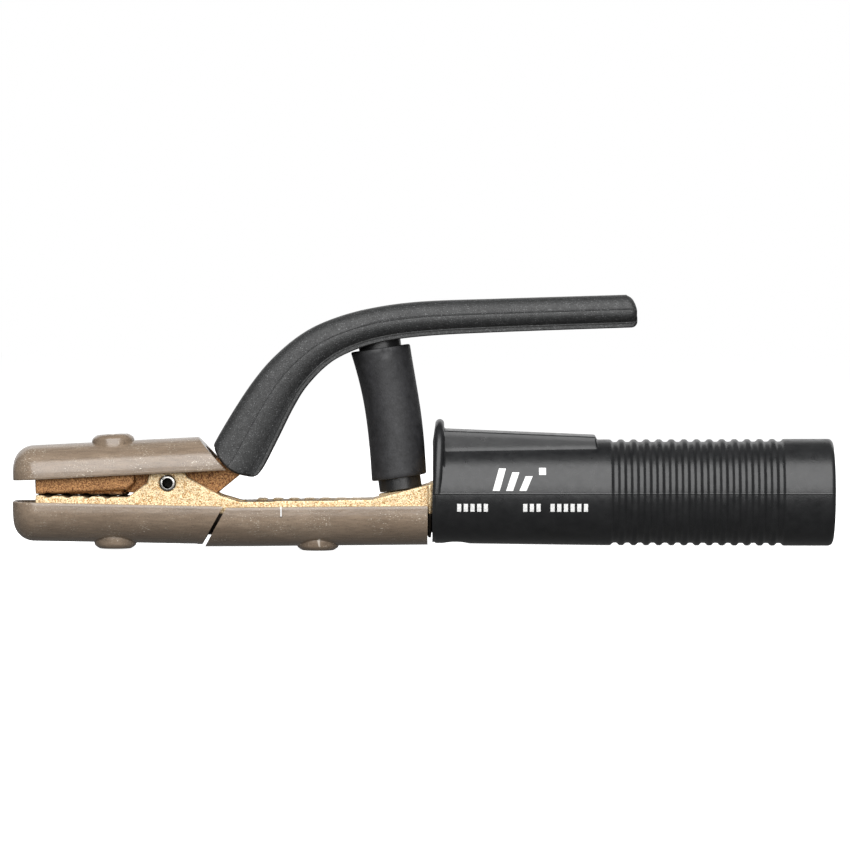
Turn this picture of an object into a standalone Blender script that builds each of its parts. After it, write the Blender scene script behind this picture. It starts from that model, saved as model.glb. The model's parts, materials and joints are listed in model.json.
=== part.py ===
"""Tong-style electrode holder: a brass body and lever that grip a welding electrode between two jaws.

Metres, +X towards the cable end, +Z towards the lever, origin under the middle of the holder.
Blender 4.5: blender --background --python part.py
"""

import math

import bmesh
import bpy
from mathutils import Matrix, Vector

# Overall sizes. The head, from the nose to the handle, keeps its length: a longer holder has a longer handle.
LENGTH = 0.260
NOSE_X = -LENGTH / 2
HANDLE_END_X = LENGTH / 2
GAP = 0.0003  # between pieces that touch

# Lower insulators, and the bar of the body that they wrap
LOWER_HALF_WIDTH = 0.0131
LOWER_WALL = 0.0026
LOWER_BOWL_HEIGHT = 0.0100
BAR_HALF_WIDTH = LOWER_HALF_WIDTH - LOWER_WALL - GAP

# Hinge
PIN_X = NOSE_X + 0.0493
PIN_Z = 0.0216
PIN_RADIUS = 0.0024
PIN_BORE_RADIUS = 0.0016
PIN_SLOT = 0.0009
PIN_PLAY = 0.0002
PIN_PROUD = 0.0002
EAR_THICKNESS = 0.0036
EAR_RADIUS = PIN_RADIUS + 0.0040
EAR_INNER_Y = BAR_HALF_WIDTH - EAR_THICKNESS
KNUCKLE_RADIUS = PIN_RADIUS + 0.0038
KNUCKLE_HALF_WIDTH = EAR_INNER_Y - GAP
SLOT_FLOOR_Z = 0.0130

# Jaws
JAW_TIP_X = NOSE_X + 0.0076
JAW_FACE_Z = 0.01775
JAW_FACE_SLOPE = -0.018
JAW_TIP_GAP = 0.0004
GRIP_PAD_SETBACK = 0.0012
GRIP_PAD_INSET = 0.0022  # from the jaw's sides
JAW_REAR_X = PIN_X - 0.0129
UPPER_PLATE_REAR_X = PIN_X - 0.0105
GROOVE_COUNT = 4
GROOVE_PITCH = 0.0062
GROOVE_START_X = JAW_TIP_X + 0.0039
GROOVE_RADIUS = 0.0020
GROOVE_DEPTH = 0.0006
GROOVE_LEAN = math.atan(GROOVE_PITCH / 4 / BAR_HALF_WIDTH)  # the two jaws' grooves lean opposite ways

# Upper jaw insulator, in a frame at the hinge that leans with the lever
UPPER_TILT = math.radians(2.86)
UPPER_WALL = 0.0029
UPPER_EAR_CLEARANCE = 0.0006
UPPER_HALF_WIDTH = BAR_HALF_WIDTH + UPPER_EAR_CLEARANCE + UPPER_WALL
UPPER_RIM = 0.0032
UPPER_CROWN = 0.0139
UPPER_CROWN_HEIGHT = 0.0088
UPPER_REAR = 0.0186
UPPER_REAR_SLANT = -0.80
NOSE_PLAN_RADIUS = 0.0090
NOSE_SIDE_RADIUS = 0.0065

# Handle's place
HANDLE_FRONT_X = PIN_X + 0.0836
HANDLE_AXIS_Z = 0.0184

# Rims and bases of the lower insulators, as heights and slopes along X
JAW_SHELL_RIM_Z = 0.0157
JAW_SHELL_RIM_SLOPE = -0.020
JAW_SHELL_BASE_Z = 0.0031
JAW_SHELL_BASE_SLOPE = -0.018
JAW_SHELL_REAR_X = PIN_X + 0.0176
SPLIT_SLANT = 0.56
SPLIT_GAP = 0.0011
BODY_SHELL_RIM_Z = 0.0140
BODY_SHELL_RIM_SLOPE = 0.008
BODY_SHELL_BASE_Z = 0.0012
BODY_SHELL_BASE_SLOPE = 0.009
BODY_SHELL_REAR_X = HANDLE_FRONT_X - 0.0015

# Bosses and their screws
JAW_BOSS_X = PIN_X - 0.0170
BODY_BOSS_X = PIN_X + 0.0473
BOSS_FACE_RADIUS = 0.0053
BOSS_ROOT_RADIUS = 0.0068
JAW_BOSS_FACE_Z = 0.0006
BODY_BOSS_FACE_Z = 0.0
UPPER_BOSS_HEIGHT = 0.0022
HEAD_RADIUS = 0.0033
HEAD_HEIGHT = 0.0016
HEAD_RECESS = 0.0003
SHANK_RADIUS = 0.0022
SHANK_LENGTH = 0.0085
SCREW_PLAY = 0.0003
WASHER_THICKNESS = 0.0005
SEAT_PLAY = 0.0002  # under a washer and under a head
DRIVE_SLOT = 0.0009
SCREW_DEPTH = HEAD_RECESS + HEAD_HEIGHT + WASHER_THICKNESS + 2 * SEAT_PLAY
TAPPED_DEPTH = SHANK_LENGTH + 0.0036

# Waist of the body, with its raised marks and the pockets cored under it
WAIST_TOP_Z = 0.0157
BODY_END_X = HANDLE_FRONT_X - GAP
RAMP_START_X = HANDLE_FRONT_X - 0.0189
RAMP_RISE = 0.0057
MARK_COUNT = 7
MARK_START_X = PIN_X + 0.0282
MARK_PITCH = 0.0050
MARK_LENGTH = 0.0030
MARK_HEIGHT = 0.0009
MARK_HALF_WIDTH = 0.0055
POCKET_HALF_WIDTH = 0.0062
POCKET_ROOF_Z = 0.0115
POCKET_LENGTH = 0.0180
POCKET_BOSS = 0.0070  # solid metal left each side of the screw

# Cable barrel, inside the handle
BARREL_RADIUS = 0.0125
BARREL_BORE_RADIUS = 0.0078
BARREL_BORE_X = HANDLE_FRONT_X + 0.0131
BARREL_END_X = HANDLE_FRONT_X + 0.0551
COLLAR_RADIUS = BARREL_RADIUS + 0.0020
COLLAR_X = BODY_SHELL_REAR_X + GAP
SLEEVE_TUBE_WALL = 0.0009
SLEEVE_TUBE_LENGTH = 0.0400
CLAMP_SCREW_X = (HANDLE_FRONT_X + 0.0221, HANDLE_FRONT_X + 0.0391)
CLAMP_SCREW_RADIUS = 0.0046
CLAMP_SCREW_PROUD = 0.0028
CLAMP_SOCKET_RADIUS = 0.0026
CLAMP_SOCKET_DEPTH = 0.0045

# Handle
HANDLE_BORE_RADIUS = BARREL_RADIUS + GAP
HANDLE_WALL = 0.0033
HANDLE_FRONT_RADIUS = HANDLE_BORE_RADIUS + HANDLE_WALL
HANDLE_MID_X = HANDLE_FRONT_X + 0.0531
HANDLE_MID_RADIUS = HANDLE_FRONT_RADIUS + 0.0007
HANDLE_REAR_RADIUS = HANDLE_FRONT_RADIUS + 0.0009
HANDLE_ROUND = 0.0016
GRIP_START_X = HANDLE_FRONT_X + 0.0579
GRIP_PITCH = 0.0040
GRIP_DEPTH = 0.0008
GRIP_PLAIN_END = 0.0160
GRIP_GROOVE_COUNT = 1 + int((HANDLE_END_X - GRIP_PLAIN_END - GRIP_START_X) / GRIP_PITCH)
KEYWAY_HALF_WIDTH = CLAMP_SCREW_RADIUS + 0.0012
KEYWAY_TOP_Z = HANDLE_AXIS_Z + BARREL_RADIUS + CLAMP_SCREW_PROUD + 0.0009
KEYWAY_END_X = CLAMP_SCREW_X[1] + 0.0080
RIDGE_WALL = 0.0021
RIDGE_HALF_WIDTH = KEYWAY_HALF_WIDTH + 0.0033
RIDGE_END_X = KEYWAY_END_X + 0.0054
RIDGE_REAR_Z = KEYWAY_TOP_Z + RIDGE_WALL
RIDGE_FRONT_Z = RIDGE_REAR_Z + 0.0022
RIDGE_ROUND = 0.0016
GUARD_TOP_Z = RIDGE_FRONT_Z + 0.0028
GUARD_THICKNESS = 0.0028
GUARD_HALF_WIDTH = HANDLE_FRONT_RADIUS + 0.0005
GUARD_LEAN = 0.0010
HANDLE_SCREW_X = HANDLE_FRONT_X + 0.0076
HANDLE_SCREW_HEAD_RADIUS = 0.0042
HANDLE_SCREW_LENGTH = 0.0055
HANDLE_SCREW_FLOOR = 0.0010  # handle wall left under the head

# Lever's centre line: points (x, z) from the hinge, with the insulator's thickness there
LEVER_LINE = (
    (0.0199, 0.0054, 0.0150),
    (0.0221, 0.0084, 0.0172),
    (0.0271, 0.0175, 0.0167),
    (0.0325, 0.0269, 0.0154),
    (0.0380, 0.0345, 0.0141),
    (0.0457, 0.0417, 0.0129),
    (0.0540, 0.0463, 0.0119),
    (0.0654, 0.0498, 0.0112),
    (0.0807, 0.0519, 0.0110),
    (0.1052, 0.0530, 0.0106),
    (0.1483, 0.0544, 0.0104),
)
LEVER_HALF_WIDTH = 0.0110
LEVER_CORNER = 0.0032
LEVER_WALL = 0.0024
LEVER_MOUTH = 0.0040
ARM_HALF_WIDTH = KNUCKLE_HALF_WIDTH
ARM_CORNER = 0.0012
ARM_LENGTH = 0.1307
LEVER_END_ROUND = 0.0024
LINE_STEPS = 2

# Spring and what guides it; the axis leans forward from the seat on the body
SEAT_X = HANDLE_FRONT_X - 0.0099
SEAT_Z = 0.0190
SPRING_LEAN = math.radians(8.3)
SPRING_COIL_RADIUS = 0.0041
SPRING_WIRE_RADIUS = 0.0009
SPRING_TURNS = 9
SPRING_POINTS_PER_TURN = 10
SEAT_NUB_RADIUS = 0.0016
SEAT_NUB_HEIGHT = 0.0024
LEVER_PAD_DEPTH = 0.0030
SEAT_PAD = 0.0006  # how far the lever's seat stands out of its arm
CUP_BORE_RADIUS = SPRING_COIL_RADIUS + SPRING_WIRE_RADIUS + 0.00055
CUP_RADIUS = CUP_BORE_RADIUS + 0.0012
CUP_FLOOR = 0.0015
CUP_EYE_RADIUS = SEAT_NUB_RADIUS + 0.0010
LOWER_CUP_LENGTH = 0.0140
UPPER_CUP_LENGTH = 0.0165
SEAT_RADIUS = CUP_RADIUS + 0.00045
RELIEF_RADIUS = CUP_RADIUS + 0.0017
SLEEVE_WALL = 0.00125
SLEEVE_BORE_RADIUS = CUP_RADIUS + 0.00065
SLEEVE_RADIUS = SLEEVE_BORE_RADIUS + SLEEVE_WALL
SLEEVE_START = 0.0042  # along the spring axis from the seat
SLEEVE_TOP_GAP = 0.0039  # from the sleeve's top to the lever's seat

SEGMENTS = 24


def clear_scene():
    for obj in list(bpy.data.objects):
        bpy.data.objects.remove(obj, do_unlink=True)


def new_collection(name):
    collection = bpy.data.collections.new(name)
    bpy.context.scene.collection.children.link(collection)
    return collection


clear_scene()
PARTS = new_collection("electrode_holder")
CUTTERS = new_collection("cutters")
CUTTERS.hide_render = True


# Materials


def finish(name, colour, roughness, metallic):
    material = bpy.data.materials.new(name)
    material.use_nodes = True
    shader = material.node_tree.nodes["Principled BSDF"]
    shader.inputs["Base Color"].default_value = (*colour, 1.0)
    shader.inputs["Roughness"].default_value = roughness
    shader.inputs["Metallic"].default_value = metallic
    return material


CAST_BRASS = finish("cast_brass", (0.62, 0.46, 0.25), 0.45, 1.0)
CAST_COPPER = finish("cast_copper", (0.40, 0.22, 0.13), 0.50, 1.0)
BROWN_MOULDING = finish("brown_moulding", (0.25, 0.19, 0.14), 0.42, 0.0)
BLACK_NYLON = finish("black_nylon", (0.018, 0.018, 0.019), 0.40, 0.0)
LEVER_RUBBER = finish("lever_moulding", (0.030, 0.030, 0.032), 0.62, 0.0)
BLACK_RUBBER = finish("black_rubber", (0.022, 0.022, 0.024), 0.50, 0.0)
FIBRE = finish("insulating_fibre", (0.035, 0.033, 0.032), 0.70, 0.0)
SPRING_STEEL = finish("spring_steel", (0.30, 0.30, 0.31), 0.35, 1.0)
DARK_STEEL = finish("blackened_steel", (0.10, 0.095, 0.09), 0.45, 1.0)
COPPER = finish("copper", (0.70, 0.33, 0.20), 0.35, 1.0)


# Shapes


def add_object(name, mesh, cutter=False):
    obj = bpy.data.objects.new(name, mesh)
    if cutter:
        CUTTERS.objects.link(obj)
        obj.hide_render = True
        obj.display_type = "WIRE"
    else:
        PARTS.objects.link(obj)
    return obj


def from_bmesh(name, shape, cutter=False):
    bmesh.ops.recalc_face_normals(shape, faces=shape.faces)
    mesh = bpy.data.meshes.new(name)
    shape.to_mesh(mesh)
    shape.free()
    return add_object(name, mesh, cutter)


def loft(name, rings, cutter=False):
    """A closed skin through rings of points, which all have the same number of points."""
    shape = bmesh.new()
    loops = [[shape.verts.new(point) for point in ring] for ring in rings]
    count = len(rings[0])
    for near, far in zip(loops[:-1], loops[1:]):
        for i in range(count):
            j = (i + 1) % count
            shape.faces.new((near[i], near[j], far[j], far[i]))
    shape.faces.new(loops[0])
    shape.faces.new(loops[-1])
    return from_bmesh(name, shape, cutter)


def box(name, low, high, cutter=False):
    shape = bmesh.new()
    bmesh.ops.create_cube(shape, size=1.0)
    size = [b - a for a, b in zip(low, high)]
    middle = [(a + b) / 2 for a, b in zip(low, high)]
    bmesh.ops.scale(shape, vec=size, verts=shape.verts)
    bmesh.ops.translate(shape, vec=middle, verts=shape.verts)
    return from_bmesh(name, shape, cutter)


def rod(name, start, end, radius, end_radius=None, segments=SEGMENTS, cutter=False):
    """A cylinder, or a cone frustum, between two points."""
    start = Vector(start)
    span = Vector(end) - start
    shape = bmesh.new()
    bmesh.ops.create_cone(
        shape,
        cap_ends=True,
        segments=segments,
        radius1=radius,
        radius2=radius if end_radius is None else end_radius,
        depth=span.length,
    )
    obj = from_bmesh(name, shape, cutter)
    obj.rotation_mode = "QUATERNION"
    obj.rotation_quaternion = Vector((0, 0, 1)).rotation_difference(span)
    obj.location = start + span / 2
    return obj


def turned(name, profile, segments=SEGMENTS, closed=False, cutter=False):
    """A profile of (radius, height), down its outer side, swept round local Z by a Screw modifier."""
    mesh = bpy.data.meshes.new(name)
    edges = [(i, i + 1) for i in range(len(profile) - 1)]
    if closed:
        edges.append((len(profile) - 1, 0))
    mesh.from_pydata([(radius, 0, height) for radius, height in profile], edges, [])
    obj = add_object(name, mesh, cutter)
    screw = obj.modifiers.new("turn", "SCREW")
    screw.axis = "Z"
    screw.steps = segments
    screw.render_steps = segments
    screw.use_merge_vertices = True
    screw.merge_threshold = 0.00001
    screw.use_smooth_shade = True
    return obj


def prism(name, outline, low_y, high_y, cutter=False):
    """A flat outline in the XZ plane, filled and thickened from low_y to high_y."""
    curve = bpy.data.curves.new(name, "CURVE")
    curve.dimensions = "2D"
    curve.fill_mode = "BOTH"
    curve.extrude = (high_y - low_y) / 2
    spline = curve.splines.new("POLY")
    spline.points.add(len(outline) - 1)
    for point, (x, z) in zip(spline.points, outline):
        point.co = (x, z, 0, 1)
    spline.use_cyclic_u = True
    flat = bpy.data.objects.new(name + "_outline", curve)
    CUTTERS.objects.link(flat)
    flat.matrix_world = Matrix.Translation((0, (low_y + high_y) / 2, 0)) @ Matrix.Rotation(math.pi / 2, 4, "X")
    return solid_from_curve(name, flat, cutter)


def solid_from_curve(name, curve_object, cutter=False):
    bpy.context.view_layer.update()
    graph = bpy.context.evaluated_depsgraph_get()
    mesh = bpy.data.meshes.new_from_object(curve_object.evaluated_get(graph))
    shape = bmesh.new()
    shape.from_mesh(mesh)
    bmesh.ops.remove_doubles(shape, verts=shape.verts, dist=0.000001)
    bmesh.ops.recalc_face_normals(shape, faces=shape.faces)
    shape.to_mesh(mesh)
    shape.free()
    obj = add_object(name, mesh, cutter)
    obj.matrix_world = curve_object.matrix_world
    bpy.data.objects.remove(curve_object, do_unlink=True)
    return obj


def arc(centre_x, centre_z, radius, start, end, steps):
    angles = [math.radians(start + (end - start) * i / steps) for i in range(steps + 1)]
    return [(centre_x + radius * math.cos(a), centre_z + radius * math.sin(a)) for a in angles]


def boolean(obj, other, operation):
    other.hide_render = True
    other.display_type = "WIRE"
    if other.name not in CUTTERS.objects:
        CUTTERS.objects.link(other)
        PARTS.objects.unlink(other)
    modifier = obj.modifiers.new(other.name, "BOOLEAN")
    modifier.operation = operation
    modifier.solver = "EXACT"
    modifier.object = other


def cut(obj, *others):
    for other in others:
        boolean(obj, other, "DIFFERENCE")


def join(obj, *others):
    for other in others:
        boolean(obj, other, "UNION")


def bevel(obj, width, segments=2, angle=35):
    modifier = obj.modifiers.new("edges", "BEVEL")
    modifier.width = width
    modifier.segments = segments
    modifier.limit_method = "ANGLE"
    modifier.angle_limit = math.radians(angle)
    modifier.use_clamp_overlap = True


def dress(obj, material, smooth_angle=40):
    obj.data.materials.clear()
    obj.data.materials.append(material)
    obj.data.shade_smooth()
    obj.data.set_sharp_from_angle(angle=math.radians(smooth_angle))
    return obj


# Frames that several pieces share


def spring_span():
    """Distance along the spring's axis from its seat on the body to its seat on the lever's arm."""
    stations = lever_stations()
    for near, far in zip(stations[:-1], stations[1:]):
        near_side, near_height = from_spring_seat(near)
        far_side, far_height = from_spring_seat(far)
        if near_side <= 0 < far_side:
            share = -near_side / (far_side - near_side)
            height = near_height + (far_height - near_height) * share
            thickness = near[2] + (far[2] - near[2]) * share
            return height - (thickness / 2 - LEVER_WALL - GAP) - SEAT_PAD
    raise ValueError("the spring's axis misses the lever")


def from_spring_seat(station):
    """(distance across, distance along) the spring's axis of a point on the lever's centre line."""
    x = station[0] - SEAT_X
    z = station[1] - SEAT_Z
    across = x * math.cos(SPRING_LEAN) + z * math.sin(SPRING_LEAN)
    along = z * math.cos(SPRING_LEAN) - x * math.sin(SPRING_LEAN)
    return across, along


def spring_point(distance, side=0.0):
    """A point on the spring's axis, at this distance from its seat on the body."""
    along = Vector((-math.sin(SPRING_LEAN), 0, math.cos(SPRING_LEAN)))
    across = Vector((math.cos(SPRING_LEAN), 0, math.sin(SPRING_LEAN)))
    return Vector((SEAT_X, 0, SEAT_Z)) + along * distance + across * side


def on_spring_axis(obj, distance=0.0, flip=False):
    """Stands a turned piece on the spring's axis, or hangs it there upside down."""
    obj.location = spring_point(distance)
    obj.rotation_euler = (math.pi if flip else 0, -SPRING_LEAN, 0)


def in_jaw_frame(obj):
    """Puts a piece that is modelled about the hinge in its place, leaning with the upper jaw."""
    obj.location = (PIN_X, 0, PIN_Z)
    obj.rotation_euler = (0, -UPPER_TILT, 0)


def jaw_frame_x(world_x):
    return (world_x - PIN_X) / math.cos(UPPER_TILT)


def lever_stations():
    """Points along the lever's centre line, as (x, z, thickness, direction)."""
    points = [Vector((PIN_X + x, PIN_Z + z, thickness)) for x, z, thickness in LEVER_LINE]
    dense = []
    for i in range(len(points) - 1):
        before = points[max(i - 1, 0)]
        after = points[min(i + 2, len(points) - 1)]
        for k in range(LINE_STEPS):
            dense.append(smooth_between(before, points[i], points[i + 1], after, k / LINE_STEPS))
    dense.append(points[-1])
    stations = []
    for i, point in enumerate(dense):
        along = dense[min(i + 1, len(dense) - 1)] - dense[max(i - 1, 0)]
        stations.append((point.x, point.y, point.z, Vector((along.x, 0, along.y)).normalized()))
    return stations


def smooth_between(a, b, c, d, t):
    """The Catmull-Rom curve through b and c, at t from 0 to 1."""
    return 0.5 * (2 * b + (c - a) * t + (2 * a - 5 * b + 4 * c - d) * t**2 + (3 * b - a - 3 * c + d) * t**3)


def slab_ring(centre, along, half_width, half_thickness, corner, shift=0.0):
    """A rounded rectangle square to the direction along, which lies in the XZ plane."""
    up = Vector((-along.z, 0, along.x))
    corner = min(corner, half_thickness * 0.9)
    ring = []
    for quarter, (side, height) in enumerate(((1, 1), (-1, 1), (-1, -1), (1, -1))):
        for step in range(4):
            angle = math.radians(90 * quarter + 30 * step)
            y = side * (half_width - corner) + corner * math.cos(angle)
            h = height * (half_thickness - corner) + corner * math.sin(angle)
            ring.append(centre + along * shift + Vector((0, y, 0)) + up * h)
    return ring


def trough_ring(x, half_width, rim_z, base_z, bowl_height, slant=0.0, steps=8):
    """A U-shaped outline across X: straight sides from the rim, then half an ellipse down or up to base_z."""
    way = 1 if base_z > rim_z else -1
    bowl = min(bowl_height, abs(base_z - rim_z) * 0.98)
    start_z = base_z - way * bowl
    points = [(half_width, rim_z)]
    for i in range(steps + 1):
        angle = math.pi * i / steps
        points.append((half_width * math.cos(angle), start_z + way * bowl * math.sin(angle)))
    points.append((-half_width, rim_z))
    return [Vector((x + slant * (z - rim_z), y, z)) for y, z in points]


def nose_insets(plan_radius, side_radius):
    """(distance from the front, inset at the sides, inset at the top or bottom) for a rounded nose."""
    insets = []
    for i in range(6):
        angle = math.radians(90 * i / 5)
        distance = plan_radius * (1 - math.cos(angle))
        side = plan_radius * (1 - math.sin(angle))
        reach = max(0.0, 1 - distance / side_radius)
        insets.append((distance, side, side_radius * (1 - math.sqrt(1 - reach**2))))
    return insets


# Heights of the lower pieces along X


def jaw_face_z(x):
    return JAW_FACE_Z + JAW_FACE_SLOPE * (x - JAW_TIP_X)


def jaw_shell_rim_z(x):
    return JAW_SHELL_RIM_Z + JAW_SHELL_RIM_SLOPE * (x - NOSE_X)


def jaw_shell_base_z(x):
    return JAW_SHELL_BASE_Z + JAW_SHELL_BASE_SLOPE * (x - NOSE_X)


def body_shell_rim_z(x):
    return BODY_SHELL_RIM_Z + BODY_SHELL_RIM_SLOPE * (x - JAW_SHELL_REAR_X)


def body_shell_base_z(x):
    return BODY_SHELL_BASE_Z + BODY_SHELL_BASE_SLOPE * (x - JAW_SHELL_REAR_X)


# Insulators


def lower_jaw_insulator():
    rings = []
    for distance, side, base in nose_insets(NOSE_PLAN_RADIUS, NOSE_SIDE_RADIUS):
        x = NOSE_X + distance
        width = LOWER_HALF_WIDTH - side
        rings.append(trough_ring(x, width, jaw_shell_rim_z(x), jaw_shell_base_z(x) + base, LOWER_BOWL_HEIGHT))
    rear = JAW_SHELL_REAR_X
    rings.append(
        trough_ring(rear, LOWER_HALF_WIDTH, jaw_shell_rim_z(rear), jaw_shell_base_z(rear), LOWER_BOWL_HEIGHT, SPLIT_SLANT)
    )
    shell = loft("lower_jaw_insulator", rings)
    join(shell, boss("jaw_boss", JAW_BOSS_X, JAW_BOSS_FACE_Z, jaw_shell_base_z(JAW_BOSS_X)))
    cut(shell, lower_cavity("jaw_cavity", JAW_TIP_X - GAP, JAW_SHELL_REAR_X + 0.004, jaw_shell_rim_z, jaw_shell_base_z))
    cut(shell, *screw_seat("jaw_seat", JAW_BOSS_X, JAW_BOSS_FACE_Z))
    return dress(shell, BROWN_MOULDING)


def body_insulator():
    front = JAW_SHELL_REAR_X + SPLIT_GAP
    rear = BODY_SHELL_REAR_X
    rings = [
        trough_ring(front, LOWER_HALF_WIDTH, body_shell_rim_z(front), body_shell_base_z(front), LOWER_BOWL_HEIGHT, SPLIT_SLANT),
        trough_ring(rear, LOWER_HALF_WIDTH, body_shell_rim_z(rear), body_shell_base_z(rear), LOWER_BOWL_HEIGHT),
    ]
    shell = loft("body_insulator", rings)
    join(shell, boss("body_boss", BODY_BOSS_X, BODY_BOSS_FACE_Z, body_shell_base_z(BODY_BOSS_X)))
    cut(shell, lower_cavity("body_cavity", front - 0.012, rear + 0.004, body_shell_rim_z, body_shell_base_z))
    cut(shell, *screw_seat("body_seat", BODY_BOSS_X, BODY_BOSS_FACE_Z))
    return dress(shell, BROWN_MOULDING)


def lower_cavity(name, front, rear, rim_z, base_z):
    rings = []
    for x in (front, rear):
        width = LOWER_HALF_WIDTH - LOWER_WALL
        rings.append(trough_ring(x, width, rim_z(x) + 0.004, base_z(x) + LOWER_WALL, LOWER_BOWL_HEIGHT - LOWER_WALL))
    return loft(name, rings, cutter=True)


def boss(name, x, face_z, shell_z):
    """A flared foot under a shell, round a screw."""
    return rod(name, (x, 0, face_z), (x, 0, shell_z + 0.0015), BOSS_FACE_RADIUS, BOSS_ROOT_RADIUS)


def screw_seat(name, x, face_z):
    """The counterbore for a screw's head and washer, and the hole for its shank."""
    bore = rod(name + "_bore", (x, 0, face_z - 0.001), (x, 0, face_z + SCREW_DEPTH), HEAD_RADIUS + GAP, cutter=True)
    hole = rod(name + "_hole", (x, 0, face_z), (x, 0, face_z + 0.009), SHANK_RADIUS + SCREW_PLAY, cutter=True)
    return bore, hole


def upper_jaw_insulator():
    front = jaw_frame_x(NOSE_X) + (UPPER_CROWN - NOSE_SIDE_RADIUS) * math.tan(UPPER_TILT)
    rings = []
    for distance, side, crown in nose_insets(NOSE_PLAN_RADIUS, NOSE_SIDE_RADIUS):
        width = UPPER_HALF_WIDTH - side
        rings.append(trough_ring(front + distance, width, UPPER_RIM, UPPER_CROWN - crown, UPPER_CROWN_HEIGHT))
    rings.append(
        trough_ring(UPPER_REAR, UPPER_HALF_WIDTH, UPPER_RIM, UPPER_CROWN, UPPER_CROWN_HEIGHT, UPPER_REAR_SLANT)
    )
    shell = loft("upper_jaw_insulator", rings)
    in_jaw_frame(shell)
    top = UPPER_CROWN + UPPER_BOSS_HEIGHT
    foot = rod(
        "upper_boss",
        on_upper_jaw(top),
        on_upper_jaw(UPPER_CROWN - 0.0015),
        BOSS_FACE_RADIUS,
        BOSS_ROOT_RADIUS,
    )
    join(shell, foot)
    width = UPPER_HALF_WIDTH - UPPER_WALL
    cavity = loft(
        "upper_cavity",
        [
            trough_ring(x, width, UPPER_RIM - 0.004, UPPER_CROWN - UPPER_WALL, UPPER_CROWN_HEIGHT - UPPER_WALL)
            for x in (jaw_frame_x(JAW_TIP_X) - GAP, UPPER_REAR + 0.004)
        ],
        cutter=True,
    )
    in_jaw_frame(cavity)
    cut(shell, cavity)
    cut(shell, upper_hole("upper_seat_bore", top - SCREW_DEPTH, top + 0.001, HEAD_RADIUS + GAP))
    cut(shell, upper_hole("upper_seat_hole", top - 0.009, top, SHANK_RADIUS + SCREW_PLAY))
    return dress(shell, BROWN_MOULDING)


def on_upper_jaw(height):
    """A point on the upper jaw's screw axis, at this height in the jaw's frame."""
    frame = Matrix.Translation((PIN_X, 0, PIN_Z)) @ Matrix.Rotation(-UPPER_TILT, 4, "Y")
    return frame @ Vector((jaw_frame_x(JAW_BOSS_X), 0, height))


def upper_hole(name, low, high, radius):
    return rod(name, on_upper_jaw(low), on_upper_jaw(high), radius, cutter=True)


# Screws and washers


def screw_profile(head_radius, head_height, shank_radius, shank_length):
    """A cheese-head screw, head up, its seat at height 0."""
    chamfer = head_height * 0.25
    return [
        (0, head_height),
        (head_radius - chamfer, head_height),
        (head_radius, head_height - chamfer),
        (head_radius, 0),
        (shank_radius, 0),
        (shank_radius, -shank_length + shank_radius * 0.4),
        (shank_radius * 0.6, -shank_length),
        (0, -shank_length),
    ]


def slotted_screw(name, frame, head_radius=HEAD_RADIUS, shank_length=SHANK_LENGTH):
    screw = turned(name, screw_profile(head_radius, HEAD_HEIGHT, SHANK_RADIUS, shank_length), 18)
    screw.matrix_world = frame
    slot = box(
        name + "_slot",
        (-head_radius * 1.5, -DRIVE_SLOT / 2, HEAD_HEIGHT * 0.45),
        (head_radius * 1.5, DRIVE_SLOT / 2, HEAD_HEIGHT * 2),
        cutter=True,
    )
    slot.matrix_world = frame
    cut(screw, slot)
    return dress(screw, DARK_STEEL)


def washer(name, frame):
    ring = turned(
        name,
        [
            (HEAD_RADIUS, WASHER_THICKNESS),
            (HEAD_RADIUS, 0),
            (SHANK_RADIUS + SEAT_PLAY, 0),
            (SHANK_RADIUS + SEAT_PLAY, WASHER_THICKNESS),
        ],
        18,
        closed=True,
    )
    ring.matrix_world = frame
    return dress(ring, SPRING_STEEL)


def fasten(screw_name, washer_name, frame):
    """A screw and its washer; frame's Z points out of the boss, and its origin is the counterbore's floor."""
    washer(washer_name, frame @ Matrix.Translation((0, 0, SEAT_PLAY)))
    slotted_screw(screw_name, frame @ Matrix.Translation((0, 0, WASHER_THICKNESS + 2 * SEAT_PLAY)))


def insulator_fasteners():
    down = Matrix.Rotation(math.pi, 4, "X")
    jaw = Matrix.Translation((JAW_BOSS_X, 0, JAW_BOSS_FACE_Z + SCREW_DEPTH)) @ down
    body = Matrix.Translation((BODY_BOSS_X, 0, BODY_BOSS_FACE_Z + SCREW_DEPTH)) @ down
    tilt = Matrix.Translation((PIN_X, 0, PIN_Z)) @ Matrix.Rotation(-UPPER_TILT, 4, "Y")
    top = UPPER_CROWN + UPPER_BOSS_HEIGHT - SCREW_DEPTH
    upper = tilt @ Matrix.Translation((jaw_frame_x(JAW_BOSS_X), 0, top))
    fasten("lower_jaw_screw", "lower_jaw_washer", jaw)
    fasten("body_screw", "body_washer", body)
    fasten("upper_jaw_screw", "upper_jaw_washer", upper)


# Body casting


def body_casting():
    casting = loft("body_casting", body_bar_rings())
    join(casting, *[ear(side) for side in (-1, 1)])
    join(casting, collar())
    join(casting, barrel(), spring_seat())
    for i in range(MARK_COUNT):
        join(casting, raised_mark(i))
    cut(casting, fork_slot(), seat_relief())
    cut(casting, *[pocket(side) for side in (-1, 1)])
    cut(casting, barrel_bore(), barrel_step())
    cut(casting, rod("ear_holes", (PIN_X, -0.02, PIN_Z), (PIN_X, 0.02, PIN_Z), PIN_RADIUS + PIN_PLAY, cutter=True))
    cut(casting, jaw_grooves("lower_grooves", jaw_face_z, 1))
    for name, x, face in (("jaw", JAW_BOSS_X, JAW_BOSS_FACE_Z), ("body", BODY_BOSS_X, BODY_BOSS_FACE_Z)):
        cut(casting, tapped_hole(name + "_tapped", x, face))
    cut(casting, *[clamp_hole(i, x) for i, x in enumerate(CLAMP_SCREW_X)])
    cut(casting, handle_screw_hole("barrel_tapped", BARREL_RADIUS - 0.0055, BARREL_RADIUS + 0.001, SHANK_RADIUS + GAP))
    return dress(casting, CAST_BRASS)


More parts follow.
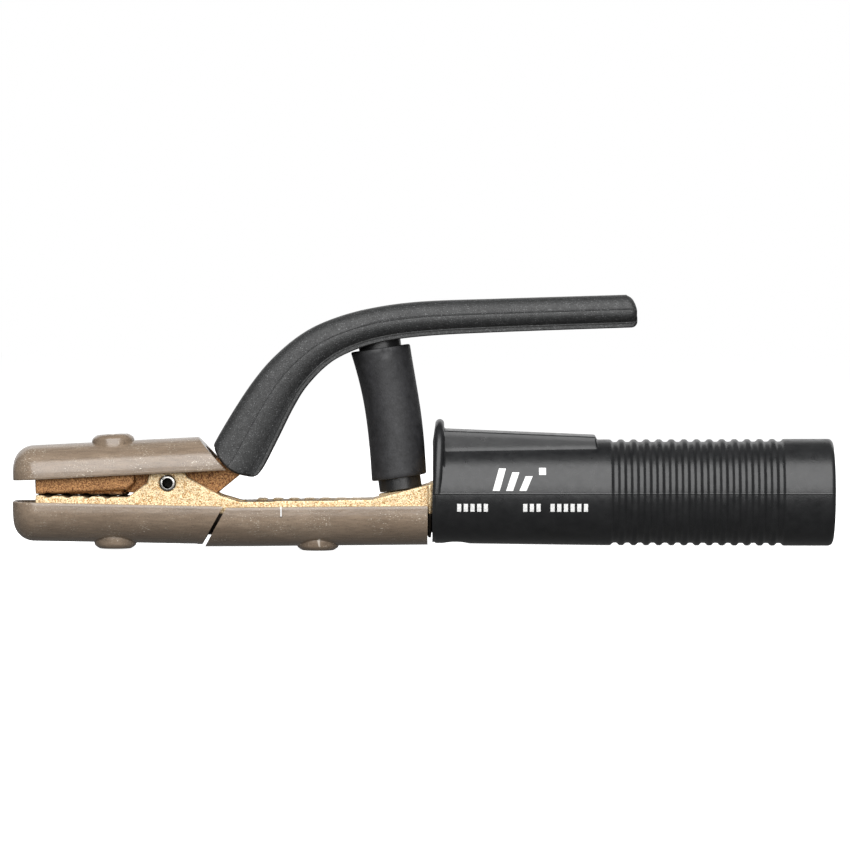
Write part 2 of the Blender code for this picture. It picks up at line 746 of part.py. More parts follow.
def body_bar_rings():
    """The bar that the lower insulators wrap, from the lower jaw's tip to the handle."""
    bowl = LOWER_BOWL_HEIGHT - LOWER_WALL - GAP
    lift = LOWER_WALL + GAP
    tops = (
        (JAW_TIP_X, jaw_face_z(JAW_TIP_X), jaw_shell_base_z),
        (JAW_REAR_X, jaw_face_z(JAW_REAR_X), jaw_shell_base_z),
        (JAW_REAR_X + 0.004, WAIST_TOP_Z, jaw_shell_base_z),
        (JAW_SHELL_REAR_X - 0.008, WAIST_TOP_Z, jaw_shell_base_z),
        (JAW_SHELL_REAR_X, WAIST_TOP_Z, jaw_shell_base_z),
        (RAMP_START_X, WAIST_TOP_Z + 0.0008, body_shell_base_z),
        (BODY_END_X, WAIST_TOP_Z + RAMP_RISE, body_shell_base_z),
    )
    return [trough_ring(x, BAR_HALF_WIDTH, top, base(x) + lift, bowl) for x, top, base in tops]


def ear(side):
    """One of the two hinge cheeks."""
    outline = [(JAW_REAR_X, WAIST_TOP_Z - 0.004), (JAW_REAR_X, jaw_face_z(JAW_REAR_X) - 0.0003)]
    outline += arc(PIN_X, PIN_Z, EAR_RADIUS, 178, 18, 12)
    outline += [
        (PIN_X + 0.0169, PIN_Z - 0.0040),
        (PIN_X + 0.0240, WAIST_TOP_Z - 0.0002),
        (PIN_X + 0.0240, WAIST_TOP_Z - 0.004),
    ]
    low, high = sorted((side * EAR_INNER_Y, side * (BAR_HALF_WIDTH - 0.00001)))
    return prism("ear_left" if side > 0 else "ear_right", outline, low, high)


def fork_slot():
    """The slot between the cheeks that the lever's knuckle turns in."""
    return box(
        "fork_slot",
        (JAW_REAR_X - 0.0010, -EAR_INNER_Y, SLOT_FLOOR_Z),
        (PIN_X + 0.0245, EAR_INNER_Y, PIN_Z + 0.02),
        cutter=True,
    )


def collar():
    """The shoulder that the body insulator and the handle stop against."""
    top = WAIST_TOP_Z + RAMP_RISE - 0.0002
    rings = [
        trough_ring(x, COLLAR_RADIUS * 0.88, top, HANDLE_AXIS_Z - COLLAR_RADIUS, COLLAR_RADIUS * 0.8)
        for x in (COLLAR_X, BODY_END_X)
    ]
    return loft("collar", rings)


def pocket(side):
    """A cored pocket in the underside of the waist, before or behind the insulator's screw."""
    near = BODY_BOSS_X + side * POCKET_BOSS
    far = near + side * POCKET_LENGTH
    name = "pocket_rear" if side > 0 else "pocket_front"
    low = (min(near, far), -POCKET_HALF_WIDTH, 0.0)
    return box(name, low, (max(near, far), POCKET_HALF_WIDTH, POCKET_ROOF_Z), cutter=True)


def barrel():
    front = BODY_END_X - 0.0002
    return rod("barrel", (front, 0, HANDLE_AXIS_Z), (BARREL_END_X, 0, HANDLE_AXIS_Z), BARREL_RADIUS)


def barrel_step():
    """Sets the barrel's face back inside the handle, above the ramp."""
    low = (BODY_END_X - 0.0010, -BARREL_RADIUS - 0.001, WAIST_TOP_Z + RAMP_RISE + 0.0003)
    high = (HANDLE_FRONT_X + 0.0010, BARREL_RADIUS + 0.001, HANDLE_AXIS_Z + BARREL_RADIUS + 0.001)
    return box("barrel_step", low, high, cutter=True)


def barrel_bore():
    """The cable's socket, open at the rear, with a cone at its bottom."""
    bore = turned(
        "barrel_bore",
        [
            (0, BARREL_END_X + 0.002),
            (BARREL_BORE_RADIUS, BARREL_END_X + 0.002),
            (BARREL_BORE_RADIUS, BARREL_BORE_X),
            (0, BARREL_BORE_X - BARREL_BORE_RADIUS * 0.4),
        ],
        cutter=True,
    )
    bore.location = (0, 0, HANDLE_AXIS_Z)
    bore.rotation_euler = (0, math.pi / 2, 0)
    return bore


def spring_seat():
    """The round pad and centring nub under the spring."""
    seat = turned(
        "spring_seat",
        [
            (0, SEAT_NUB_HEIGHT),
            (SEAT_NUB_RADIUS, SEAT_NUB_HEIGHT),
            (SEAT_NUB_RADIUS, 0),
            (SEAT_RADIUS, 0),
            (SEAT_RADIUS, -0.006),
            (0, -0.006),
        ],
        20,
    )
    on_spring_axis(seat)
    return seat


def seat_relief():
    """Clears the ramp round the foot of the spring's cup."""
    relief = ring_cutter("seat_relief", SEAT_NUB_RADIUS, RELIEF_RADIUS, 0.0)
    on_spring_axis(relief)
    return relief


def lever_relief():
    """Clears the lever's metal round the rim of the upper cup."""
    relief = ring_cutter("lever_relief", CUP_RADIUS - 0.0008, CUP_RADIUS + GAP, GAP / 2)
    on_spring_axis(relief, spring_span(), flip=True)
    return relief


def ring_cutter(name, inner_radius, outer_radius, start):
    profile = [(outer_radius, 0.012), (outer_radius, start), (inner_radius, start), (inner_radius, 0.012)]
    return turned(name, profile, 20, closed=True, cutter=True)


def raised_mark(index):
    x = MARK_START_X + MARK_PITCH * index
    top = WAIST_TOP_Z + MARK_HEIGHT
    return box(
        f"mark_{index}",
        (x, -MARK_HALF_WIDTH, WAIST_TOP_Z - 0.001),
        (x + MARK_LENGTH, MARK_HALF_WIDTH, top),
    )


def jaw_grooves(name, face_z, way):
    """Round-bottomed grooves across a jaw that hold the electrode."""
    shape = bmesh.new()
    lean = Matrix.Rotation(-way * GROOVE_LEAN, 4, "Z")
    turn = Matrix.Translation((0, BAR_HALF_WIDTH, 0)) @ Matrix.Rotation(math.pi / 2, 4, "X")
    for i in range(GROOVE_COUNT):
        x = GROOVE_START_X + GROOVE_PITCH * i
        z = face_z(x) + way * (GROOVE_RADIUS - GROOVE_DEPTH)
        place = Matrix.Translation((x, -BAR_HALF_WIDTH, z)) @ lean @ turn
        bmesh.ops.create_cone(
            shape,
            cap_ends=True,
            segments=12,
            radius1=GROOVE_RADIUS,
            radius2=GROOVE_RADIUS,
            depth=0.04,
            matrix=place,
        )
    return from_bmesh(name, shape, cutter=True)


def tapped_hole(name, x, face_z):
    return rod(name, (x, 0, face_z), (x, 0, face_z + TAPPED_DEPTH), SHANK_RADIUS + GAP, cutter=True)


def clamp_hole(index, x):
    top = HANDLE_AXIS_Z + BARREL_RADIUS
    return rod(
        f"clamp_hole_{index}",
        (x, 0, HANDLE_AXIS_Z),
        (x, 0, top + 0.004),
        CLAMP_SCREW_RADIUS + GAP,
        cutter=True,
    )


def handle_screw_hole(name, near, far, radius):
    """A hole on the handle screw's axis, between two distances below the handle's axis."""
    return rod(
        name,
        (HANDLE_SCREW_X, 0, HANDLE_AXIS_Z - far),
        (HANDLE_SCREW_X, 0, HANDLE_AXIS_Z - near),
        radius,
        cutter=True,
    )


# Lever casting


def upper_jaw_face(x):
    """Height of the upper jaw's gripping face in world axes."""
    return jaw_face_z(x) + JAW_TIP_GAP


def lever_casting():
    casting = upper_jaw_plate()
    join(casting, grip_pad(), knuckle())
    join(casting, lever_arm())
    join(casting, lever_seat())
    cut(casting, lever_relief())
    cut(casting, rod("knuckle_hole", (PIN_X, -0.02, PIN_Z), (PIN_X, 0.02, PIN_Z), PIN_RADIUS + PIN_PLAY, cutter=True))
    cut(casting, jaw_grooves("upper_grooves", upper_jaw_face, -1))
    top = UPPER_CROWN + UPPER_BOSS_HEIGHT
    cut(casting, upper_hole("upper_tapped", top - TAPPED_DEPTH, top, SHANK_RADIUS + GAP))
    return dress(casting, CAST_COPPER)


def upper_jaw_plate():
    width = UPPER_HALF_WIDTH - UPPER_WALL - GAP
    crown = UPPER_CROWN - UPPER_WALL - GAP
    tip = jaw_frame_x(JAW_TIP_X)
    face = (JAW_FACE_Z + JAW_TIP_GAP - PIN_Z) / math.cos(UPPER_TILT) - tip * math.tan(UPPER_TILT)
    rear = jaw_frame_x(UPPER_PLATE_REAR_X)
    rings = [
        trough_ring(x, width, base, crown, UPPER_CROWN_HEIGHT - UPPER_WALL - GAP)
        for x, base in ((tip, face), (rear - 0.0025, face), (rear, face + 0.0020))
    ]
    plate = loft("lever_casting", rings)
    in_jaw_frame(plate)
    return plate


def grip_pad():
    """The raised face under the upper jaw, parallel to the lower jaw's."""
    front = JAW_TIP_X + GRIP_PAD_SETBACK
    rear = UPPER_PLATE_REAR_X - 0.0038
    outline = [
        (front, upper_jaw_face(front)),
        (rear, upper_jaw_face(rear)),
        (rear, JAW_FACE_Z + 0.0050),
        (front, JAW_FACE_Z + 0.0025),
    ]
    half_width = BAR_HALF_WIDTH - GRIP_PAD_INSET
    return prism("grip_pad", outline, -half_width, half_width)


def knuckle():
    """The lever's hinge eye between the cheeks, with the neck that rises into the insulated arm."""
    front = UPPER_PLATE_REAR_X - 0.004
    outline = [(front, PIN_Z - 0.0006), (JAW_REAR_X, PIN_Z - 0.0030)]
    outline += arc(PIN_X, PIN_Z, KNUCKLE_RADIUS, 215, 285, 7)
    outline += [
        (PIN_X + 0.0127, PIN_Z - 0.0050),
        (PIN_X + 0.0150, PIN_Z - 0.0038),
        (PIN_X + 0.0229, PIN_Z + 0.0027),
        (PIN_X + 0.0261, PIN_Z + 0.0064),
        (PIN_X + 0.0252, PIN_Z + 0.0124),
        (PIN_X + 0.0202, PIN_Z + 0.0134),
        (PIN_X + 0.0173, PIN_Z + 0.0108),
        (PIN_X + 0.0163, PIN_Z + 0.0080),
        (PIN_X + 0.0132, PIN_Z + 0.0070),
        (PIN_X + 0.0087, PIN_Z + 0.0084),
        (front, PIN_Z + 0.0078),
    ]
    return prism("knuckle", outline, -KNUCKLE_HALF_WIDTH, KNUCKLE_HALF_WIDTH)


def lever_arm():
    """The metal core of the lever, inside its insulator."""
    stations = [s for s in lever_stations() if PIN_X + LEVER_LINE[1][0] - 0.00001 <= s[0] <= PIN_X + ARM_LENGTH]
    rings = []
    for x, z, thickness, along in stations:
        half = thickness / 2 - LEVER_WALL - GAP
        end_gap = -GAP if x == stations[-1][0] else 0.0
        rings.append(slab_ring(Vector((x, 0, z)), along, ARM_HALF_WIDTH, half, ARM_CORNER, end_gap))
    return loft("lever_arm", rings)


def lever_seat():
    """The pad and nub that the top of the spring bears on."""
    seat = turned(
        "lever_seat",
        [
            (0, SEAT_NUB_HEIGHT),
            (SEAT_NUB_RADIUS, SEAT_NUB_HEIGHT),
            (SEAT_NUB_RADIUS, 0),
            (CUP_RADIUS - 0.0006, 0),
            (CUP_RADIUS - 0.0006, -LEVER_PAD_DEPTH),
            (0, -LEVER_PAD_DEPTH),
        ],
        20,
    )
    on_spring_axis(seat, spring_span(), flip=True)
    return seat


# Lever insulator


def lever_insulator():
    cover = loft("lever_insulator", cover_rings())
    cut(cover, cover_cavity())
    hole = rod(
        "cup_hole",
        spring_point(spring_span() - 0.010),
        spring_point(spring_span() + LEVER_PAD_DEPTH + GAP),
        CUP_RADIUS + 2 * GAP,
        cutter=True,
    )
    cut(cover, hole)
    return dress(cover, LEVER_RUBBER)


def cover_rings():
    stations = lever_stations()
    rings = []
    for x, z, thickness, along in stations:
        rings.append(slab_ring(Vector((x, 0, z)), along, LEVER_HALF_WIDTH, thickness / 2, LEVER_CORNER))
    x, z, thickness, along = stations[-1]
    end = Vector((x, 0, z))
    inner = thickness / 2 - LEVER_END_ROUND * 0.3
    width = LEVER_HALF_WIDTH - LEVER_END_ROUND * 0.3
    rings[-1] = slab_ring(end, along, width, inner, LEVER_CORNER, -LEVER_END_ROUND * 0.3)
    inner = thickness / 2 - LEVER_END_ROUND
    width = LEVER_HALF_WIDTH - LEVER_END_ROUND
    rings.append(slab_ring(end, along, width, inner, LEVER_CORNER))
    rings.insert(-2, slab_ring(end, along, LEVER_HALF_WIDTH, thickness / 2, LEVER_CORNER, -LEVER_END_ROUND))
    return rings


def cover_cavity():
    """The hollow that the lever's arm fills, open at the front."""
    stations = [s for s in lever_stations() if s[0] <= PIN_X + ARM_LENGTH]
    width = ARM_HALF_WIDTH + GAP
    rings = []
    for x, z, thickness, along in [stations[0], *stations]:
        mouth = 0.0 if rings else -LEVER_MOUTH
        half = thickness / 2 - LEVER_WALL
        rings.append(slab_ring(Vector((x, 0, z)), along, width, half, ARM_CORNER, mouth))
    return loft("cover_cavity", rings, cutter=True)


# Spring


def spring_cup(name, length, distance, flip):
    """A fibre cup round one end of the spring, with an eye for the seat's nub."""
    cup = turned(
        name,
        [
            (CUP_RADIUS, length),
            (CUP_RADIUS, 0),
            (CUP_EYE_RADIUS, 0),
            (CUP_EYE_RADIUS, CUP_FLOOR),
            (CUP_BORE_RADIUS, CUP_FLOOR),
            (CUP_BORE_RADIUS, length),
        ],
        closed=True,
    )
    on_spring_axis(cup, distance, flip)
    return dress(cup, FIBRE)


def spring_sleeve():
    """The loose rubber tube over the spring and both cups."""
    length = spring_span() - SLEEVE_START - SLEEVE_TOP_GAP
    sleeve = turned(
        "spring_sleeve",
        [
            (SLEEVE_RADIUS, length),
            (SLEEVE_RADIUS, 0),
            (SLEEVE_BORE_RADIUS, 0),
            (SLEEVE_BORE_RADIUS, length),
        ],
        closed=True,
    )
    on_spring_axis(sleeve, SLEEVE_START)
    return dress(sleeve, BLACK_RUBBER)


def lever_spring():
    """A compression spring whose end coils lie closed against the cups."""
    bottom = GAP * 2 + CUP_FLOOR + SPRING_WIRE_RADIUS
    top = spring_span() - bottom
    curve = bpy.data.curves.new("lever_spring", "CURVE")
    curve.dimensions = "3D"
    curve.bevel_depth = SPRING_WIRE_RADIUS
    curve.bevel_resolution = 1
    curve.use_fill_caps = True
    spline = curve.splines.new("POLY")
    count = SPRING_TURNS * SPRING_POINTS_PER_TURN
    spline.points.add(count)
    for i, point in enumerate(spline.points):
        turns = SPRING_TURNS * i / count
        angle = 2 * math.pi * turns
        height = coil_height(turns, bottom, top)
        point.co = (SPRING_COIL_RADIUS * math.cos(angle), SPRING_COIL_RADIUS * math.sin(angle), height, 1)
    spring = bpy.data.objects.new("lever_spring", curve)
    PARTS.objects.link(spring)
    on_spring_axis(spring)
    curve.materials.append(SPRING_STEEL)
    return spring


def coil_height(turns, bottom, top):
    """Height of the wire's centre: one closed turn at each end, an even pitch between."""
    closed = SPRING_WIRE_RADIUS * 2.15
    if turns < 1:
        return bottom + closed * turns
    if turns > SPRING_TURNS - 1:
        return top - closed * (SPRING_TURNS - turns)
    share = (turns - 1) / (SPRING_TURNS - 2)
    return bottom + closed + (top - bottom - 2 * closed) * share


# Hinge pin


def hinge_pin():
    """A slotted spring pin through both cheeks and the knuckle."""
    half = BAR_HALF_WIDTH + PIN_PROUD
    pin = turned(
        "hinge_pin",
        [
            (PIN_RADIUS - 0.0003, half),
            (PIN_RADIUS, half - 0.0005),
            (PIN_RADIUS, -half + 0.0005),
            (PIN_RADIUS - 0.0003, -half),
            (PIN_BORE_RADIUS, -half),
            (PIN_BORE_RADIUS, half),
        ],
        closed=True,
    )
    place = Matrix.Translation((PIN_X, 0, PIN_Z)) @ Matrix.Rotation(math.pi / 2, 4, "X")
    pin.matrix_world = place
    slot = box("pin_slot", (0, -PIN_SLOT / 2, -half * 1.2), (PIN_RADIUS * 2, PIN_SLOT / 2, half * 1.2), cutter=True)
    slot.matrix_world = place @ Matrix.Rotation(math.radians(135), 4, "Z")
    cut(pin, slot)
    return dress(pin, DARK_STEEL)


# Handle


def handle_radius(x):
    if x < HANDLE_MID_X:
        share = (x - HANDLE_FRONT_X) / (HANDLE_MID_X - HANDLE_FRONT_X)
        return HANDLE_FRONT_RADIUS + (HANDLE_MID_RADIUS - HANDLE_FRONT_RADIUS) * share
    share = (x - HANDLE_MID_X) / (HANDLE_END_X - HANDLE_MID_X)
    return HANDLE_MID_RADIUS + (HANDLE_REAR_RADIUS - HANDLE_MID_RADIUS) * share


def grip_profile():
    """The outside of the handle from the rear to the front, with the grooves of the grip."""
    points = [
        (handle_radius(HANDLE_END_X) - HANDLE_ROUND, HANDLE_END_X),
        (handle_radius(HANDLE_END_X) - HANDLE_ROUND * 0.3, HANDLE_END_X - HANDLE_ROUND * 0.3),
        (handle_radius(HANDLE_END_X), HANDLE_END_X - HANDLE_ROUND),
    ]
    for i in reversed(range(GRIP_GROOVE_COUNT)):
        x = GRIP_START_X + GRIP_PITCH * i
        for offset, depth in ((0.35, 0), (0.15, GRIP_DEPTH), (-0.15, GRIP_DEPTH), (-0.35, 0)):
            place = x + GRIP_PITCH * offset
            points.append((handle_radius(place) - depth, place))
    points.append((HANDLE_FRONT_RADIUS, HANDLE_FRONT_X))
    return points


def handle():
    tube = turned(
        "handle",
        [*grip_profile(), (HANDLE_BORE_RADIUS, HANDLE_FRONT_X), (HANDLE_BORE_RADIUS, HANDLE_END_X)],
        closed=True,
        segments=24,
    )
    tube.location = (0, 0, HANDLE_AXIS_Z)
    tube.rotation_euler = (0, math.pi / 2, 0)
    join(tube, ridge(), guard())
    cut(tube, handle_bore(), keyway())
    cut(tube, handle_screw_hole("handle_hole", BARREL_RADIUS - 0.002, HANDLE_MID_RADIUS + 0.004, SHANK_RADIUS + SCREW_PLAY))
    head = HANDLE_SCREW_HEAD_RADIUS + GAP
    floor = HANDLE_BORE_RADIUS + HANDLE_SCREW_FLOOR
    cut(tube, handle_screw_hole("handle_counterbore", floor, HANDLE_MID_RADIUS + 0.004, head))
    return dress(tube, BLACK_NYLON)


def handle_bore():
    return rod(
        "handle_bore",
        (HANDLE_FRONT_X - 0.005, 0, HANDLE_AXIS_Z),
        (HANDLE_END_X + 0.005, 0, HANDLE_AXIS_Z),
        HANDLE_BORE_RADIUS + 0.00005,
        segments=24,
        cutter=True,
    )


def ridge():
    """The raised back of the handle, over the heads of the clamp screws."""
    outline = [
        (HANDLE_FRONT_X + 0.001, HANDLE_AXIS_Z + 0.0125),
        (RIDGE_END_X, HANDLE_AXIS_Z + 0.0125),
        (RIDGE_END_X, RIDGE_REAR_Z),
        (HANDLE_FRONT_X + 0.001, RIDGE_FRONT_Z),
    ]
    shape = prism("ridge", outline, -RIDGE_HALF_WIDTH, RIDGE_HALF_WIDTH)
    bevel(shape, RIDGE_ROUND)
    return shape


def keyway():
    return box(
        "keyway",
        (HANDLE_FRONT_X - 0.005, -KEYWAY_HALF_WIDTH, HANDLE_AXIS_Z),
        (KEYWAY_END_X, KEYWAY_HALF_WIDTH, KEYWAY_TOP_Z),
        cutter=True,
    )


def guard():
    """The flange that keeps the hand back from the spring: an upright oval, merging into the tube halfway down."""
    height = GUARD_TOP_Z - HANDLE_AXIS_Z
    rings = []
    for thickness in (0, GUARD_THICKNESS):
        ring = []
        for i in range(32):
            angle = 2 * math.pi * i / 32
            y = abs(math.cos(angle)) ** 0.8 * math.copysign(1, math.cos(angle))
            z = abs(math.sin(angle)) ** 0.8 * math.copysign(1, math.sin(angle))
            drop = height if z > 0 else HANDLE_FRONT_RADIUS - 0.0004
            half = GUARD_HALF_WIDTH if z > 0 else HANDLE_FRONT_RADIUS - 0.0002
            x = HANDLE_FRONT_X + 0.00005 + GUARD_LEAN * max(0.0, z) + thickness
            ring.append(Vector((x, half * y, HANDLE_AXIS_Z + drop * z)))
        rings.append(ring)
    return loft("guard", rings)


def handle_screw():
    seat = HANDLE_AXIS_Z - HANDLE_BORE_RADIUS - HANDLE_SCREW_FLOOR - GAP
    frame = Matrix.Translation((HANDLE_SCREW_X, 0, seat)) @ Matrix.Rotation(math.pi, 4, "X")
    return slotted_screw("handle_screw", frame, HANDLE_SCREW_HEAD_RADIUS, HANDLE_SCREW_LENGTH)


# Cable connection


def clamp_screw(name, x):
    """A cup-point set screw with a hexagon socket that presses the cable's sleeve."""
    top = HANDLE_AXIS_Z + BARREL_RADIUS + CLAMP_SCREW_PROUD
    bottom = HANDLE_AXIS_Z + BARREL_BORE_RADIUS + GAP
    screw = turned(
        name,
        [
            (0, top),
            (CLAMP_SCREW_RADIUS - 0.0005, top),
            (CLAMP_SCREW_RADIUS, top - 0.0005),
            (CLAMP_SCREW_RADIUS, bottom + 0.0010),
            (CLAMP_SCREW_RADIUS - 0.0014, bottom),
            (0, bottom),
        ],
    )
    screw.location = (x, 0, 0)
    socket = rod(
        name + "_socket",
        (x, 0, top - CLAMP_SOCKET_DEPTH),
        (x, 0, top + 0.001),
        CLAMP_SOCKET_RADIUS,
        segments=6,
        cutter=True,
    )
    cut(screw, socket)
    return dress(screw, DARK_STEEL)


def cable_sleeve():
    """The thin copper tube that gathers the cable's strands under the clamp screws."""
    outer = BARREL_BORE_RADIUS - GAP
    sleeve = turned(
        "cable_sleeve",
        [
            (outer, SLEEVE_TUBE_LENGTH),
            (outer, 0),
            (outer - SLEEVE_TUBE_WALL, 0),
            (outer - SLEEVE_TUBE_WALL, SLEEVE_TUBE_LENGTH),
        ],
        closed=True,
    )
    sleeve.location = (BARREL_BORE_X + GAP, 0, HANDLE_AXIS_Z)
    sleeve.rotation_euler = (0, math.pi / 2, 0)
    return dress(sleeve, COPPER)


# Assembly


def pivot(name, place, names):
    """An empty on a joint's axis that carries a moving body's pieces."""
    empty = bpy.data.objects.new(name, None)
    empty.location = place
    PARTS.objects.link(empty)
    bpy.context.view_layer.update()
    for piece in names:
        obj = bpy.data.objects[piece]
        obj.parent = empty
        obj.matrix_parent_inverse = empty.matrix_world.inverted()


def main():
    body_casting()
    lever_casting()
    hinge_pin()
    upper_jaw_insulator()
    lower_jaw_insulator()
    body_insulator()
    insulator_fasteners()
    lever_insulator()
    spring_cup("spring_cup_lower", LOWER_CUP_LENGTH, GAP, flip=False)
    spring_cup("spring_cup_upper", UPPER_CUP_LENGTH, spring_span() - GAP, flip=True)
    spring_sleeve()
    lever_spring()
    handle()
    handle_screw()
    clamp_screw("cable_clamp_screw_front", CLAMP_SCREW_X[0])
    clamp_screw("cable_clamp_screw_rear", CLAMP_SCREW_X[1])
    cable_sleeve()
    lever_pieces = (
        "lever_casting",
        "lever_insulator",
        "upper_jaw_insulator",
        "upper_jaw_screw",
        "upper_jaw_washer",
        "spring_cup_upper",
    )
    pivot("lever_pivot", (PIN_X, 0, PIN_Z), lever_pieces)
    heel = spring_point(0, CUP_RADIUS)
    pivot("spring_pivot", heel, ("spring_cup_lower", "spring_sleeve", "lever_spring"))


main()
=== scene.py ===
"""Looks of the electrode holder: smooth shells, a ribbed handle, rough castings, and their materials.

Metres, +X towards the cable end, +Z towards the lever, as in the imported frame.
"""

import json
import math

import bmesh
import bpy
from mathutils import Matrix, Vector, noise

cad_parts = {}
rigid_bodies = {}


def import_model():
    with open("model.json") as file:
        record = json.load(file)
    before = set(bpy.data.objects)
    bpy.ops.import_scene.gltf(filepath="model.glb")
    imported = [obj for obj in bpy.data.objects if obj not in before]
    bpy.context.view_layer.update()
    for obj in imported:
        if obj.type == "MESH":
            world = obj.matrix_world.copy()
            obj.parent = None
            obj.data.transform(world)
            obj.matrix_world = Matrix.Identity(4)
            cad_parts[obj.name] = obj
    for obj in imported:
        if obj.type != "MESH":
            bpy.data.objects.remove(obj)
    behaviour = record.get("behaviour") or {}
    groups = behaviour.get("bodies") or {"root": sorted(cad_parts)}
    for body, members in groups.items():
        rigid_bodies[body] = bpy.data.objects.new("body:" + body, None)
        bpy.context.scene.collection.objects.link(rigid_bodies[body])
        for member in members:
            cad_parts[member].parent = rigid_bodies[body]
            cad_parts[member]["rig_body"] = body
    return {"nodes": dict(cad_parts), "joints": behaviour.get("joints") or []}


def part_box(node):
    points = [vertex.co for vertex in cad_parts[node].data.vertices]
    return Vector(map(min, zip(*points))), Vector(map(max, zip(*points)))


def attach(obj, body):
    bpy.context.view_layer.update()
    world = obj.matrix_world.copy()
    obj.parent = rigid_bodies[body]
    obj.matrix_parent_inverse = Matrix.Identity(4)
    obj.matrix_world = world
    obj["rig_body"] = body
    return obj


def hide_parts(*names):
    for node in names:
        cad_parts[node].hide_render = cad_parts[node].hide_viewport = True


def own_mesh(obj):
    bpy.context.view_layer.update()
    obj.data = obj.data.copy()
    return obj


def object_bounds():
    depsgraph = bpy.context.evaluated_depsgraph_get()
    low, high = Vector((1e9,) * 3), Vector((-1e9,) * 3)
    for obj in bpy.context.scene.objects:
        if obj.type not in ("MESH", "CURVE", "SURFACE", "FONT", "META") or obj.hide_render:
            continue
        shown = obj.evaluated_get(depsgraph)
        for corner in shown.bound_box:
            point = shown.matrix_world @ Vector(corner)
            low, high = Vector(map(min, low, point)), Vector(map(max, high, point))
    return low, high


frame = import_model()
cad_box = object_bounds()

# Places and sizes read from the frame
GAP = 0.0003
NOSE_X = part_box("lower_jaw_insulator")[0].x
HANDLE_LOW, HANDLE_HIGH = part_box("handle")
HANDLE_FRONT_X = HANDLE_LOW.x
HANDLE_END_X = HANDLE_HIGH.x
HANDLE_RADIUS = HANDLE_HIGH.y
HANDLE_AXIS_Z = HANDLE_LOW.z + HANDLE_RADIUS
PIN_LOW, PIN_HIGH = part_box("hinge_pin")
PIN = (PIN_LOW + PIN_HIGH) / 2
JOINTS = {joint["name"]: joint for joint in frame["joints"]}


# Meshes


def piece(name, shape, smooth_angle=40):
    """A finished object from a bmesh, smooth shaded except across sharp edges."""
    bmesh.ops.remove_doubles(shape, verts=shape.verts, dist=0.0000005)
    bmesh.ops.recalc_face_normals(shape, faces=shape.faces)
    mesh = bpy.data.meshes.new(name)
    shape.to_mesh(mesh)
    shape.free()
    mesh.shade_smooth()
    mesh.set_sharp_from_angle(angle=math.radians(smooth_angle))
    obj = bpy.data.objects.new(name, mesh)
    bpy.context.scene.collection.objects.link(obj)
    return obj


def add_skin(shape, rings, looped=False):
    """Adds a skin through rings with the same number of points each to a bmesh; capped unless looped."""
    loops = [[shape.verts.new(point) for point in ring] for ring in rings]
    pairs = list(zip(loops[:-1], loops[1:]))
    if looped:
        pairs.append((loops[-1], loops[0]))
    else:
        shape.faces.new(loops[0])
        shape.faces.new(loops[-1])
    for near, far in pairs:
        for i, point in enumerate(near):
            j = (i + 1) % len(near)
            shape.faces.new((point, near[j], far[j], far[i]))


def skin(name, rings, looped=False, smooth_angle=40):
    shape = bmesh.new()
    add_skin(shape, rings, looped)
    return piece(name, shape, smooth_angle)


def turned(name, profile, place, looped=False, segments=64, smooth_angle=35):
    """A profile of (radius, height) swept round the Z axis of the matrix place."""
    rings = []
    for radius, height in profile:
        turn = [2 * math.pi * i / segments for i in range(segments)]
        radius = max(radius, 0.000001)
        rings.append([place @ Vector((radius * math.cos(a), radius * math.sin(a), height)) for a in turn])
    return skin(name, rings, looped, smooth_angle)


def block(name, low, high, place=Matrix()):
    shape = bmesh.new()
    bmesh.ops.create_cube(shape, size=1.0)
    for vert in shape.verts:
        share = vert.co + Vector((0.5, 0.5, 0.5))
        vert.co = place @ Vector([a + (b - a) * s for a, b, s in zip(low, high, share)])
    return piece(name, shape)


def combine(obj, other, operation):
    """Joins or cuts an object with another one, which is then removed."""
    modifier = obj.modifiers.new("combine", "BOOLEAN")
    modifier.operation = operation
    modifier.solver = "EXACT"
    modifier.object = other
    apply_modifiers(obj)
    bpy.data.objects.remove(other, do_unlink=True)


def cut(obj, *cutters):
    for cutter in cutters:
        combine(obj, cutter, "DIFFERENCE")
    obj.data.shade_smooth()
    obj.data.set_sharp_from_angle(angle=math.radians(40))


def apply_modifiers(obj):
    graph = bpy.context.evaluated_depsgraph_get()
    graph.update()
    mesh = bpy.data.meshes.new_from_object(obj.evaluated_get(graph))
    old = obj.data
    obj.modifiers.clear()
    obj.data = mesh
    bpy.data.meshes.remove(old)


def settle(obj, node, material):
    """Puts a finished piece in the place of a CAD node."""
    obj.data.materials.clear()
    obj.data.materials.append(material)
    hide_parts(node)
    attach(obj, frame["nodes"][node]["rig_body"])
    return obj


def smooth_step(share):
    share = min(max(share, 0.0), 1.0)
    return share * share * (3 - 2 * share)


def soft_max(a, b, radius):
    """The larger of two lengths, with the corner between them filled to about this radius."""
    near = max(radius - abs(a - b), 0.0)
    return max(a, b) + near * near / (4 * radius)


def soft_min(a, b, radius):
    return -soft_max(-a, -b, radius)


def spread(low, high, step):
    """Numbers from low to high, both included, about a step apart."""
    count = max(1, round((high - low) / step))
    return [low + (high - low) * i / count for i in range(count + 1)]


# Materials

GRAIN_ROUGHNESS = 0.55


